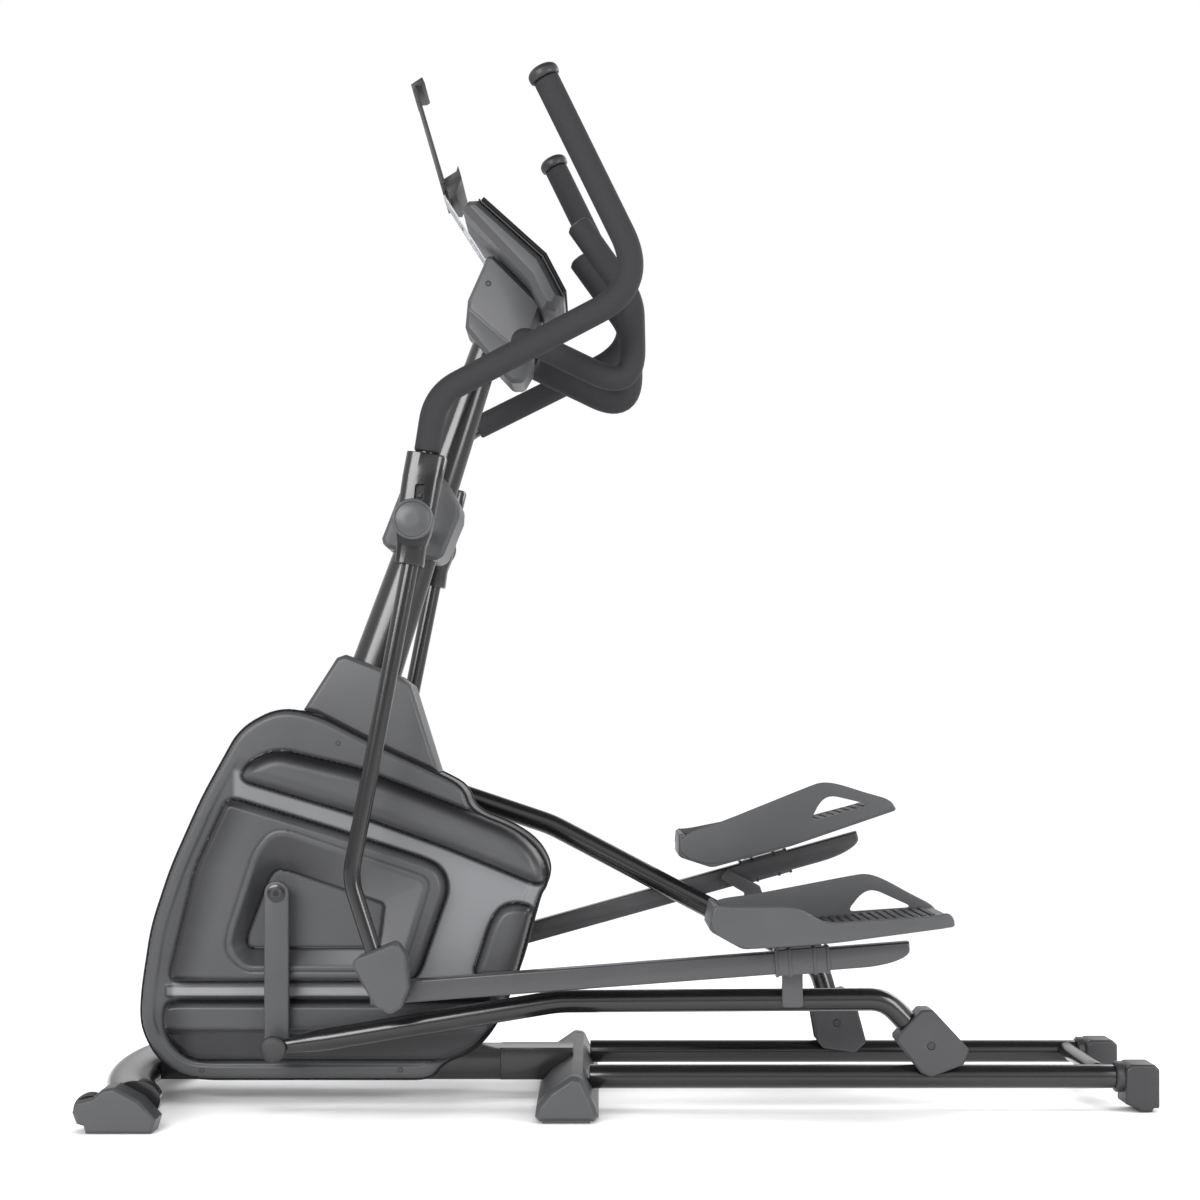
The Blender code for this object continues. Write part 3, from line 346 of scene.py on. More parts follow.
    @staticmethod
    def painted_shading_nodes(tree: bpy.types.NodeTree, paint: bpy.types.NodeSocket) -> bpy.types.NodeSocket:
        """Paint shade into the grooves of a moulded relief and paint light onto its recessed fields.

        Args:
            tree: The material's tree.
            paint: The colour so far.

        Returns:
            The new colour.
        """
        # The crease attribute holds painted shade and the field attribute holds painted light.
        crease = node(tree, "ShaderNodeAttribute", attribute_name="crease").outputs["Fac"]
        painted_light_mask = node(tree, "ShaderNodeAttribute", attribute_name="field").outputs["Fac"]
        # Painted light: recessed fields are lightened towards this grey.
        painted_light_mix = node(tree, "ShaderNodeMix", data_type="RGBA")
        painted_light_mix.inputs[MIX_SECOND].default_value = (0.170, 0.172, 0.180, 1)
        # Painted shade: grooves and turned sides are darkened towards near black.
        darker = node(tree, "ShaderNodeMix", data_type="RGBA")
        darker.inputs[MIX_SECOND].default_value = (0.004, 0.004, 0.005, 1)
        tree.links.new(painted_light_mask, painted_light_mix.inputs["Factor"])
        tree.links.new(paint, painted_light_mix.inputs[MIX_FIRST])
        tree.links.new(crease, darker.inputs["Factor"])
        tree.links.new(painted_light_mix.outputs[MIX_RESULT], darker.inputs[MIX_FIRST])
        return darker.outputs[MIX_RESULT]


# The shell's grey, carrying painted shade and painted light from its attributes.
SHELL_GREY = Finish(
    "shell_grey", "grey_plastic", Surface.MOULDED, (0.058, 0.059, 0.063), 0.38,
    tone=0.06, specular=0.38, relief=True,
)
COVER_GREY = Finish(
    "cover_grey", "grey_plastic", Surface.MOULDED, (0.057, 0.058, 0.062), 0.38, tone=0.06
)
PART_GREY = Finish("part_grey", "grey_plastic", Surface.MOULDED, (0.054, 0.055, 0.059), 0.42)
DARK_MOULDED = Finish(
    "dark_moulded", "dark_plastic", Surface.MOULDED, (0.020, 0.020, 0.022), 0.44,
    grain_depth=0.00002,
)
HOUSING_GREY = Finish("housing_grey", "dark_plastic", Surface.MOULDED, (0.038, 0.038, 0.041), 0.42)
TRIM_BLACK = Finish("trim_black", "dark_plastic", Surface.MOULDED, (0.005, 0.005, 0.006), 0.60, specular=0.2)
TREAD_GREY = Finish(
    "tread_grey", "grey_plastic", Surface.MOULDED, (0.026, 0.026, 0.029), 0.55, grain_depth=0.0002
)
STEEL_BLACK = Finish(
    "steel_black", "black_steel", Surface.PAINT, (0.006, 0.006, 0.007), 0.22,
    grain_scale=420.0, grain_depth=0.00006, pitting=0.1, sheen=0.04, coat=0.25,
)
BAR_GREY = Finish(
    "bar_grey", "black_steel", Surface.PAINT, (0.044, 0.044, 0.047), 0.30,
    grain_scale=420.0, grain_depth=0.00006, pitting=0.1, sheen=0.04, coat=0.15,
)
ZINC = Finish(
    "zinc", "grey_steel", Surface.PAINT, (0.42, 0.43, 0.45), 0.45, metallic=0.5,
    grain_scale=300.0, grain_depth=0.00001, pitting=0.0, dust=0.0,
)
BARE_STEEL = Finish(
    "bare_steel", "grey_steel", Surface.STEEL, (0.52, 0.53, 0.55), 0.32, metallic=1.0,
    grain_scale=1500.0, grain_depth=0.00004, dust=0.0,
)
CAST_BLACK = Finish(
    "cast_black", "cast_iron", Surface.CAST, (0.05, 0.05, 0.052), 0.55, metallic=0.6,
    grain_scale=600.0, grain_depth=0.0003, pitting=0.5,
)
GRIP_FOAM = Finish(
    "grip_foam", "foam", Surface.FOAM, (0.024, 0.024, 0.027), 0.78,
    grain_scale=1500.0, grain_depth=0.00022, pitting=0.6, dust=0.02, specular=0.35,
)
WHEEL_RUBBER = Finish(
    "wheel_rubber", "rubber", Surface.RUBBER, (0.022, 0.022, 0.023), 0.62,
    grain_scale=700.0, grain_depth=0.0002, pitting=0.4,
)
FACE_GLOSS = Finish(
    "face_gloss", "gloss_plastic", Surface.PAINT, (0.008, 0.008, 0.009), 0.12,
    grain_scale=300.0, grain_depth=0.00001, pitting=0.0, sheen=0.03, coat=1.0,
)
SCREEN_GLASS = Finish(
    "screen_glass", "gloss_plastic", Surface.PAINT, (0.012, 0.016, 0.020), 0.07,
    grain_scale=300.0, grain_depth=0.00001, pitting=0.0, sheen=0.02, coat=1.0,
)


def in_scene(name: str, data: bpy.types.ID) -> bpy.types.Object:
    """A new object for a mesh, light or camera, linked to the scene."""
    obj = bpy.data.objects.new(name, data)
    bpy.context.scene.collection.objects.link(obj)
    return obj


# ---------------------------------------------------------------- outlines in the side view
def smooth(share: float | np.ndarray) -> float | np.ndarray:
    """Ease a share from 0 to 1 so that both of its ends are level."""
    return share * share * (3 - 2 * share)


def turn(point: Point2, degrees: float) -> Point2:
    """Turn a side-view point anticlockwise about the origin."""
    angle = math.radians(degrees)
    c, s = math.cos(angle), math.sin(angle)
    return (c * point[0] - s * point[1], s * point[0] + c * point[1])


def signed_area(points: Sequence[Point2]) -> float:
    """Area of a closed outline, positive when it runs anticlockwise."""
    pairs = zip(points, list(points[1:]) + [points[0]])
    return sum(a[0] * b[1] - b[0] * a[1] for a, b in pairs) / 2


def inset(points: Sequence[Point2], distance: float) -> list[Point2]:
    """Move an outline inwards.

    Args:
        points: The closed outline.
        distance: How far; negative moves it outwards.

    Returns:
        An outline with as many points.
    """
    sign = 1 if signed_area(points) > 0 else -1
    result = []
    for i, corner in enumerate(points):
        here = Vector(corner)
        a = (here - Vector(points[i - 1])).normalized()
        b = (Vector(points[(i + 1) % len(points)]) - here).normalized()
        normal = Vector((-(a.y + b.y), a.x + b.x)).normalized() * sign
        slope = max(0.5, math.sqrt(max(0.0, (1 + a.dot(b)) / 2)))
        result.append(tuple(here + normal * distance / slope))
    return result


def rounded(points: Sequence[Point2], radius: float, steps: int = 6) -> list[Point2]:
    """Replace each corner of a closed outline by an arc.

    Args:
        points: The closed outline.
        radius: Radius of the arcs.
        steps: Segments in each arc.

    Returns:
        The softer outline.
    """
    result = []
    for i, corner in enumerate(points):
        here = Vector(corner)
        before, after = Vector(points[i - 1]) - here, Vector(points[(i + 1) % len(points)]) - here
        reach = radius / math.tan(before.angle(after) / 2)
        reach = min(reach, 0.45 * before.length, 0.45 * after.length)
        start, end = here + before.normalized() * reach, here + after.normalized() * reach
        for k in range(steps + 1):
            t = k / steps
            result.append(tuple((1 - t) ** 2 * start + 2 * t * (1 - t) * here + t * t * end))
    return result


def eased(points: Sequence[Point2], reach: float, steps: int = 6) -> list[Point2]:
    """Replace each corner of a closed outline by a curve that starts a fixed way before it.

    Args:
        points: The closed outline.
        reach: How far from the corner the curve starts, less on short edges.
        steps: Segments in each curve.

    Returns:
        The softer outline.
    """
    result = []
    for i, corner in enumerate(points):
        here = Vector(corner)
        before, after = Vector(points[i - 1]) - here, Vector(points[(i + 1) % len(points)]) - here
        start = here + before.normalized() * min(reach, 0.48 * before.length)
        end = here + after.normalized() * min(reach, 0.48 * after.length)
        for k in range(steps):
            t = (k + 0.5) / steps
            result.append(tuple((1 - t) ** 2 * start + 2 * t * (1 - t) * here + t * t * end))
    return result


def inside_depth(x: np.ndarray, z: np.ndarray, outline: Sequence[Point2]) -> np.ndarray:
    """Distance from an outline, positive inside it.

    Args:
        x: First coordinates of the points.
        z: Second coordinates of the points.
        outline: The closed outline.

    Returns:
        One signed distance for each point.
    """
    nearest = np.full(x.shape, 1e9)
    crossings = np.zeros(x.shape, int)
    for (ax, az), (bx, bz) in zip(outline, list(outline[1:]) + [outline[0]]):
        dx, dz = bx - ax, bz - az
        t = np.clip(((x - ax) * dx + (z - az) * dz) / max(dx * dx + dz * dz, 1e-12), 0, 1)
        nearest = np.minimum(nearest, np.hypot(x - ax - t * dx, z - az - t * dz))
        if az != bz:
            spans = (az > z) != (bz > z)
            crossings += spans & (x < dx * (z - az) / dz + ax)
    return np.where(crossings % 2 == 1, nearest, -nearest)


# ---------------------------------------------------------------- meshes
@dataclass
class Blank:
    """A mesh in the making: points, and faces as tuples of point numbers."""

    points: np.ndarray
    faces: list[tuple[int, ...]] = field(default_factory=list)

    @classmethod
    def loft(cls, rings: Sequence[np.ndarray], closed: bool = False) -> "Blank":
        """Skin equal rings, with end caps unless the rings run round.

        Args:
            rings: Rings with the same number of points.
            closed: True to join the last ring to the first.

        Returns:
            The skin.
        """
        count = len(rings[0])
        points = np.vstack(rings)
        faces = []
        spans = len(rings) if closed else len(rings) - 1
        for r in range(spans):
            low, high = r * count, ((r + 1) % len(rings)) * count
            for k in range(count):
                n = (k + 1) % count
                faces.append((low + k, low + n, high + n, high + k))
        if not closed:
            faces.append(tuple(range(count))[::-1])
            faces.append(tuple(range((len(rings) - 1) * count, len(rings) * count)))
        return cls(points, faces)

    @classmethod
    def plate(
        cls, outline: Sequence[Point2], y0: float, y1: float, edge: float = 0.0015, steps: int = 3
    ) -> "Blank":
        """A slab across Y whose two rims are rounded.

        Args:
            outline: Side-view outline.
            y0: Inner face.
            y1: Outer face.
            edge: Radius of the rims.
            steps: Segments round each rim.

        Returns:
            The slab.
        """
        rings = []
        for face, inward in ((y0, 1), (y1, -1)):
            order = range(steps + 1) if inward > 0 else range(steps, -1, -1)
            for k in order:
                angle = math.pi / 2 * k / steps
                ring = inset(outline, edge * (1 - math.sin(angle)))
                y = face + inward * edge * (1 - math.cos(angle))
                rings.append(np.array([(px, y, pz) for px, pz in ring]))
        return cls.loft(rings)

    @classmethod
    def turned(
        cls,
        profile: Sequence[Point2],
        origin: Sequence[float],
        axis: Sequence[float],
        sides: int = 48,
        hollow: bool = False,
    ) -> "Blank":
        """A solid of revolution.

        Args:
            profile: (along the axis, radius) pairs.
            origin: Where the axis starts.
            axis: Its direction.
            sides: Points round it.
            hollow: True when the profile is a closed ring clear of the axis.

        Returns:
            The solid.
        """
        direction = Vector(axis).normalized()
        guide = Vector((1, 0, 0)) if abs(direction.x) < 0.9 else Vector((0, 1, 0))
        side = (guide - direction * guide.dot(direction)).normalized()
        up = direction.cross(side)
        rings = []
        for along, radius in profile:
            centre = Vector(origin) + direction * along
            angles = [2 * math.pi * k / sides for k in range(sides)]
            ring = [centre + (side * math.cos(a) + up * math.sin(a)) * radius for a in angles]
            rings.append(np.array([tuple(p) for p in ring]))
        return cls.loft(rings, closed=hollow)

    @classmethod
    def swept(
        cls,
        path: Sequence[Vector],
        size: Callable[[float, float], Point2],
        sides: int = 36,
        guide: Sequence[float] = (0, 1, 0),
    ) -> "Blank":
        """A bar along a path.

        Args:
            path: Centre line.
            size: Half widths (across, up) for a distance from the start and one from the end.
            sides: Points round it.
            guide: Direction the bar's side starts near.

        Returns:
            The bar.
        """
        lengths = [0.0]
        for a, b in zip(path, path[1:]):
            lengths.append(lengths[-1] + (b - a).length)
        side = Vector(guide)
        rings = []
        for i, here in enumerate(path):
            tangent = (path[min(i + 1, len(path) - 1)] - path[max(i - 1, 0)]).normalized()
            side = (side - tangent * side.dot(tangent)).normalized()
            up = tangent.cross(side)
            across, rise = size(lengths[i], lengths[-1] - lengths[i])
            angles = [2 * math.pi * k / sides for k in range(sides)]
            ring = [here + side * across * math.cos(a) + up * rise * math.sin(a) for a in angles]
            rings.append(np.array([tuple(p) for p in ring]))
        return cls.loft(rings)

    def placed(self, origin: Point2, degrees: float, sign: int) -> "Blank":
        """Put a piece drawn about a pivot, on +Y, in its place on one side.

        Args:
            origin: The pivot, in the side view.
            degrees: Its turn, anticlockwise in the side view.
            sign: 1 for +Y, -1 for -Y.

        Returns:
            A new blank.
        """
        angle = math.radians(degrees)
        c, s = math.cos(angle), math.sin(angle)
        x, y, z = self.points.T
        across, up = c * x - s * z + origin[0] + SHIFT_X, s * x + c * z + origin[1]
        moved = np.column_stack((across, y * sign, up))
        return Blank(moved, [face[::sign] for face in self.faces])

    def with_others(self, *others: "Blank") -> "Blank":
        """This blank and others as one mesh."""
        points, faces = [self.points], list(self.faces)
        base = len(self.points)
        for other in others:
            points.append(other.points)
            faces += [tuple(i + base for i in face) for face in other.faces]
            base += len(other.points)
        return Blank(np.vstack(points), faces)

    def mesh_object(self, name: str) -> bpy.types.Object:
        """A scene object with this mesh, its faces turned outwards.

        Args:
            name: The object's name.

        Returns:
            The object, at the origin.
        """
        mesh = bpy.data.meshes.new(name)
        mesh.from_pydata([tuple(p) for p in self.points], [], self.faces)
        bm = bmesh.new()
        bm.from_mesh(mesh)
        bmesh.ops.recalc_face_normals(bm, faces=bm.faces)
        bm.to_mesh(mesh)
        bm.free()
        return in_scene(name, mesh)


def resampled(path: Sequence[Vector], spacing: float) -> list[Vector]:
    """Points at even steps along a path, with both ends kept.

    Args:
        path: The path.
        spacing: The step wanted.

    Returns:
        The new points.
    """
    lengths = [0.0]
    for a, b in zip(path, path[1:]):
        lengths.append(lengths[-1] + (b - a).length)
    count = max(2, round(lengths[-1] / spacing))
    result, i = [], 0
    for k in range(count + 1):
        goal = lengths[-1] * k / count
        while i < len(path) - 2 and lengths[i + 1] < goal:
            i += 1
        t = (goal - lengths[i]) / max(lengths[i + 1] - lengths[i], 1e-9)
        result.append(path[i].lerp(path[i + 1], min(1.0, t)))
    return result


def bent(points: Iterable[Sequence[float]], radii: Sequence[float], steps: int = 14) -> list[Vector]:
    """A path of straight runs with a smooth bend at each inner corner.

    Args:
        points: Ends and corners.
        radii: Bend radius at each corner.
        steps: Segments in each bend.

    Returns:
        The path.
    """
    corners = [Vector(p) for p in points]
    path = [corners[0]]
    for i in range(1, len(corners) - 1):
        here = corners[i]
        before, after = corners[i - 1] - here, corners[i + 1] - here
        reach = radii[i - 1] / math.tan(before.angle(after) / 2)
        reach = min(reach, 0.48 * before.length, 0.48 * after.length)
        start, end = here + before.normalized() * reach, here + after.normalized() * reach
        for k in range(steps + 1):
            t = k / steps
            path.append((1 - t) ** 2 * start + 2 * t * (1 - t) * here + t * t * end)
    return path + [corners[-1]]


def round_end(distance: float, radius: float, soft: float) -> float:
    """Radius near the end of a bar whose rim is rounded over a short length."""
    if distance >= soft:
        return radius
    return radius - soft + math.sqrt(max(0.0, soft * soft - (soft - distance) ** 2))


def with_rims(line: Sequence[Vector], soft: float) -> list[Vector]:
    """Add close points at both ends of a line, for rims that are rounded.

    Args:
        line: The line.
        soft: Radius of the rims.

    Returns:
        The line with three more points at each end.
    """
    ahead, back = (line[1] - line[0]).normalized(), (line[-2] - line[-1]).normalized()
    shares = (0.12, 0.45, 1.0)
    head = [line[0] + ahead * soft * share for share in shares]
    tail = [line[-1] + back * soft * share for share in reversed(shares)]
    return [line[0]] + head + list(line[1:-1]) + tail + [line[-1]]


def tube(path: Sequence[Vector], radius: float, soft: float = 0.0015, spacing: float = 0.010,
         sides: int = 36, guide: Sequence[float] = (0, 1, 0)) -> Blank:
    """A round bar with softened ends.

    Args:
        path: Centre line.
        radius: Its radius.
        soft: Radius of the end rims.
        spacing: Distance between rings.
        sides: Points round it.
        guide: Direction the bar's side starts near.

    Returns:
        The bar.
    """
    line = with_rims(resampled(path, spacing), soft)

    def size(start: float, end: float) -> Point2:
        """The same radius across and up."""
        radius_here = round_end(min(start, end), radius, soft)
        return radius_here, radius_here

    return Blank.swept(line, size, sides, guide)


# ---------------------------------------------------------------- putting pieces in the scene
def smooth_by_angle(obj: bpy.types.Object, degrees: float) -> None:
    """Shade smooth, with edges sharper than an angle kept crisp."""
    obj.data.shade_smooth()
    obj.data.set_sharp_from_angle(angle=math.radians(degrees))


def rounded_edges(obj: bpy.types.Object, width: float, segments: int) -> None:
    """Round a piece's sharp edges with a Bevel that is applied at once.

    Args:
        obj: The piece.
        width: Width of the rounding.
        segments: Segments across it.
    """
    bevel = obj.modifiers.new("edges", "BEVEL")
    bevel.width = width
    bevel.segments = segments
    bevel.limit_method = "ANGLE"
    bevel.angle_limit = math.radians(EDGE_ANGLE)
    bevel.harden_normals = False
    bevel.use_clamp_overlap = True
    applied(obj)


def applied(obj: bpy.types.Object) -> None:
    """Replace an object's mesh by what its modifiers make of it, and drop them."""
    graph = bpy.context.evaluated_depsgraph_get()
    mesh = bpy.data.meshes.new_from_object(obj.evaluated_get(graph))
    obj.modifiers.clear()
    obj.data = mesh


def cut(obj: bpy.types.Object, *tools: Blank) -> None:
    """Take solids away from a piece.

    Args:
        obj: The piece.
        *tools: Solids to remove.
    """
    helpers = [tool.mesh_object("tool") for tool in tools]
    for helper in helpers:
        step = obj.modifiers.new("cut", "BOOLEAN")
        step.operation = "DIFFERENCE"
        step.solver = "EXACT"
        step.object = helper
    applied(obj)
    for helper in helpers:
        bpy.data.objects.remove(helper)


def dressed(
    obj: bpy.types.Object, finish: Finish, body: str, stands_for: Sequence[str] = (),
    crease: float = 35.0,
) -> bpy.types.Object:
    """Give a finished mesh its material and its body.

    Args:
        obj: The piece.
        finish: Its finish.
        body: The frame body that it rides on.
        stands_for: Frame nodes that it replaces.
        crease: Edges sharper than this stay crisp.

    Returns:
        The piece.
    """
    obj.data.materials.clear()
    obj.data.materials.append(finish.material())
    smooth_by_angle(obj, crease)
    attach(obj, body)
    if stands_for:
        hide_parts(*stands_for)
    LOG.info("%s: %d faces on %s", obj.name, len(obj.data.polygons), body)
    return obj


def dress_node(name: str, finish: Finish) -> None:
    """Give a frame node that stays visible its material.

    Args:
        name: The node.
        finish: Its finish.
    """
    materials = frame["nodes"][name].data.materials
    materials.clear()
    materials.append(finish.material())
    LOG.info("%s: frame node in %s", name, finish.name)


def body_of(name: str) -> str:
    """Name of the frame body that a node belongs to."""
    groups = frame["record"]["behaviour"]["bodies"]
    return next(body for body, nodes in groups.items() if name in nodes)


def softened(name: str, finish: Finish, width: float, segments: int = 3,
             cuts: Sequence[Blank] = ()) -> bpy.types.Object:
    """A frame node's own shape with rounded edges, shown in its place.

    Args:
        name: The node.
        finish: Its finish.
        width: Width of the rounding.
        segments: Segments across it.
        cuts: Solids to remove first.

    Returns:
        The piece.
    """
    mesh = frame["nodes"][name].data.copy()
    bm = bmesh.new()
    bm.from_mesh(mesh)
    bmesh.ops.remove_doubles(bm, verts=bm.verts, dist=0.00002)
    bmesh.ops.dissolve_limit(bm, angle_limit=math.radians(1.5), verts=bm.verts, edges=bm.edges)
    bm.to_mesh(mesh)
    bm.free()
    obj = in_scene(f"{name}_skin", mesh)
    if cuts:
        cut(obj, *cuts)
    rounded_edges(obj, width, segments)
    return dressed(obj, finish, body_of(name), [name])


@dataclass(frozen=True)
class ScrewHead:
    """Sizes of a recessed screw head."""

    radius: float
    height: float
    recess: float


COVER_SCREW = ScrewHead(0.0046, 0.0016, 0.0022)


def scatter_tree(head: bpy.types.Object, finish: Finish) -> bpy.types.NodeTree:
    """A Geometry Nodes tree that puts a copy of an object on every point of a mesh.

    Args:
        head: The object.
        finish: Its finish.

    Returns:
        The tree.
    """
    tree = bpy.data.node_groups.new("copies_on_points", "GeometryNodeTree")
    tree.interface.new_socket("Geometry", in_out="INPUT", socket_type="NodeSocketGeometry")
    turn_socket = tree.interface.new_socket("Turn", in_out="INPUT", socket_type="NodeSocketFloat")
    turn_socket.default_value = 0.6
    tree.interface.new_socket("Geometry", in_out="OUTPUT", socket_type="NodeSocketGeometry")
    given, out = node(tree, "NodeGroupInput"), node(tree, "NodeGroupOutput")
    info = node(tree, "GeometryNodeObjectInfo")
    info.inputs["Object"].default_value = head
    spread = node(tree, "FunctionNodeRandomValue", data_type="FLOAT")
    spread.inputs["Seed"].default_value = 7
    angle = node(tree, "ShaderNodeCombineXYZ")
    place = node(tree, "GeometryNodeInstanceOnPoints")
    real = node(tree, "GeometryNodeRealizeInstances")
    paint = node(tree, "GeometryNodeSetMaterial")
    paint.inputs["Material"].default_value = finish.material()
    tree.links.new(given.outputs["Turn"], spread.inputs[RANDOM_MAX])
    tree.links.new(spread.outputs[RANDOM_VALUE], angle.inputs["Y"])
    tree.links.new(given.outputs["Geometry"], place.inputs["Points"])
    tree.links.new(info.outputs["Geometry"], place.inputs["Instance"])
    tree.links.new(angle.outputs["Vector"], place.inputs["Rotation"])
    tree.links.new(place.outputs["Instances"], real.inputs["Geometry"])
    tree.links.new(real.outputs["Geometry"], paint.inputs["Geometry"])
    tree.links.new(paint.outputs["Geometry"], out.inputs["Geometry"])
    return tree


def screw_row(name: str, body: str, places: Sequence[Sequence[float]], sign: int) -> None:
    """Recessed screw heads on one face, as one piece.

    Args:
        name: The piece's name.
        body: The body it rides on.
        places: Points on the face, in the frame.
        sign: 1 if the heads face +Y, -1 if they face -Y.
    """
    radius, height, recess = COVER_SCREW.radius, COVER_SCREW.height, COVER_SCREW.recess
    profile = [(-0.0010, radius), (height * 0.4, radius), (height * 0.85, radius * 0.86),
               (height, radius * 0.6), (height, recess), (height * 0.2, recess * 0.9)]
    head = Blank.turned(profile, (0, 0, 0), (0, sign, 0), 24).mesh_object("head")
    scattered(name, body, places, head, CAST_BLACK, 0.9)


def scattered(name: str, body: str, places: Sequence[Sequence[float]], head: bpy.types.Object,
              finish: Finish, spin: float) -> None:
    """Copies of a head at a row of points, made by Geometry Nodes, as one piece.

    Args:
        name: The piece's name.
        body: The body it rides on.
        places: Points, in the frame.
        head: What is copied; it is removed afterwards.
        finish: Its finish.
        spin: The largest random turn about Y, in radians.
    """
    mesh = bpy.data.meshes.new(name)
    mesh.from_pydata([(x + SHIFT_X, y, z) for x, y, z in places], [], [])
    obj = in_scene(name, mesh)
    modifier = obj.modifiers.new("copies", "NODES")
    modifier.node_group = scatter_tree(head, finish)
    sockets = {item.name: item.identifier for item in modifier.node_group.interface.items_tree
               if item.in_out == "INPUT"}
    modifier[sockets["Turn"]] = spin
    applied(obj)
    bpy.data.objects.remove(head)
    dressed(obj, finish, body)


# ---------------------------------------------------------------- the two sides
@dataclass(frozen=True)
class Side:
    """One side of the machine as it stands.

    The crank, bar, pedal and swing values are turns in degrees in the side view, and roller is
    the roller's X, all at rest and before the frame's shift.
    """

    name: str
    sign: int
    crank: float
    roller: float
    bar: float
    pedal: float
    swing: float

    def label(self, piece: str) -> str:
        """A piece's name on this side."""
        return f"{self.name}_{piece}"


SIDES = (
    Side("left", -1, 0.0, 0.454, 0.2894, 4.4027, 0.0),
    Side("right", 1, 180.0, 0.3412, -27.622, 15.5842, -0.3904),
)
CRANK_AXIS, SWING_AXIS = (-0.536, 0.327), (-0.318, 0.883)
ROLLER_HEIGHT = 0.100


# ---------------------------------------------------------------- covers
@dataclass
class SideCover:
    """One half of the drive cover: a moulded shell with raised fields, bands and a dish."""

    side: Side
    step: float = 0.0022
    face: float = 0.0700
    rim_radius: float = 0.0100
    raised: float = 0.0260
    brow_height: float = 0.512
    brow_slope: float = 0.335
    brow_reach: float = 0.590
    outline: tuple[Point2, ...] = (
        (-0.754, 0.130), (-0.752, 0.173), (-0.737, 0.272), (-0.707, 0.363), (-0.659, 0.471),
        (-0.600, 0.578), (-0.540, 0.6095), (-0.482, 0.599), (-0.377, 0.545), (-0.295, 0.508),
        (-0.255, 0.487), (-0.244, 0.450), (-0.178, 0.424), (-0.142, 0.398), (-0.123, 0.363),
        (-0.127, 0.335), (-0.137, 0.322), (-0.170, 0.203), (-0.204, 0.120), (-0.238, 0.080),
        (-0.288, 0.061), (-0.303, 0.036), (-0.659, 0.036), (-0.693, 0.043), (-0.728, 0.069),
        (-0.747, 0.103),
    )
    upper: tuple[Point2, ...] = (
        (-0.602, 0.499), (-0.583, 0.529), (-0.540, 0.546), (-0.417, 0.517), (-0.272, 0.461),
        (-0.179, 0.423), (-0.145, 0.396), (-0.127, 0.361), (-0.134, 0.334), (-0.280, 0.394),
        (-0.426, 0.447),
    )
    main: tuple[Point2, ...] = (
        (-0.618, 0.472), (-0.470, 0.427), (-0.310, 0.375), (-0.287, 0.361), (-0.278, 0.331),
        (-0.324, 0.200), (-0.340, 0.188), (-0.700, 0.188), (-0.708, 0.198), (-0.668, 0.362),
    )
    dish: tuple[Point2, ...] = (
        (-0.568, 0.386), (-0.546, 0.414), (-0.524, 0.416), (-0.310, 0.343), (-0.345, 0.231),
        (-0.360, 0.213), (-0.587, 0.213), (-0.612, 0.240), (-0.606, 0.270),
    )
    dish_floor: tuple[Point2, ...] = (
        (-0.552, 0.350), (-0.541, 0.361), (-0.520, 0.357), (-0.376, 0.308), (-0.381, 0.265),
        (-0.385, 0.240), (-0.580, 0.240), (-0.588, 0.246), (-0.585, 0.262),
    )
    lower: tuple[Point2, ...] = (
        (-0.716, 0.148), (-0.706, 0.158), (-0.192, 0.158), (-0.207, 0.121), (-0.239, 0.086),
        (-0.290, 0.066), (-0.671, 0.066), (-0.700, 0.085), (-0.716, 0.112),
    )
    thumb: tuple[Point2, ...] = (
        (-0.240, 0.196), (-0.212, 0.280), (-0.196, 0.303), (-0.172, 0.309), (-0.146, 0.302),
        (-0.172, 0.207), (-0.177, 0.196),
    )
    band: tuple[Point2, ...] = (
        (-0.716, 0.183), (-0.190, 0.183), (-0.184, 0.163), (-0.716, 0.163),
    )

    def height(self, x: np.ndarray, z: np.ndarray) -> np.ndarray:
        """How far out the shell's face is at each point of the side view.

        Args:
            x: First coordinates.
            z: Second coordinates.

        Returns:
            Distances from the middle plane.
        """
        def rise(depth: np.ndarray, run: float) -> np.ndarray:
            """0 outside, 1 once a point is a run inside, with both corners softened."""
            return smooth(np.clip(depth / run, 0, 1))

        def shoulder(depth: np.ndarray, run: float) -> np.ndarray:
            """Like rise, but steep at the foot and round at the top."""
            t = np.clip(depth / run, 0, 1)
            return np.sqrt(1 - (1 - t) ** 2)

        edge = np.clip(inside_depth(x, z, self.smooth_outline()), 0, None)
        t = np.clip(edge / self.rim_radius, 0, 1)
        y = self.face - self.rim_radius * (1 - np.sqrt(1 - (1 - t) ** 2))
        above = rise(self.over_brow(x, z), 0.020)
        y -= 0.0030 * rise(edge - 0.0195, 0.003) * (1 - above)
        floor = self.face - 0.0030
        fields = self.fields(x, z)
        upper, main, lower, thumb = (fields[name] for name in ("upper", "main", "lower", "thumb"))
        lift = self.raised + 0.003
        y = np.where(upper > 0, floor + lift * shoulder(upper, 0.024), y)
        y = np.where(main > 0, floor + lift * shoulder(main, 0.012), y)
        line = np.abs(inside_depth(x, z, inset(self.dish_rim(), -0.0075)))
        y -= 0.0016 * (1 - rise(line, 0.0030))
        into = np.clip(inside_depth(x, z, self.dish_rim()), 0, None)
        out = np.clip(-inside_depth(x, z, self.dish_base()), 0, None)
        y -= 0.0210 * into / np.maximum(into + out, 1e-6)
        rim = np.abs(inside_depth(x, z, self.dish_base()))
        y -= np.where(into > 0, 0.0012 * (1 - rise(rim, 0.0028)), 0)
        step_line = rise(z - 0.108, 0.012)
        y = np.where(lower > 0, floor + (0.013 + 0.013 * step_line) * shoulder(lower, 0.010), y)
        y = np.where(thumb > 0, floor + 0.023 * shoulder(thumb, 0.014), y)
        band = inside_depth(x, z, rounded(self.band, 0.004, 3))
        chamfer = 0.0080 - 0.0055 * np.clip((z - 0.163) / 0.020, 0, 1)
        return np.where((band > 0) & (thumb <= 0), y + chamfer * rise(band, 0.004), y)

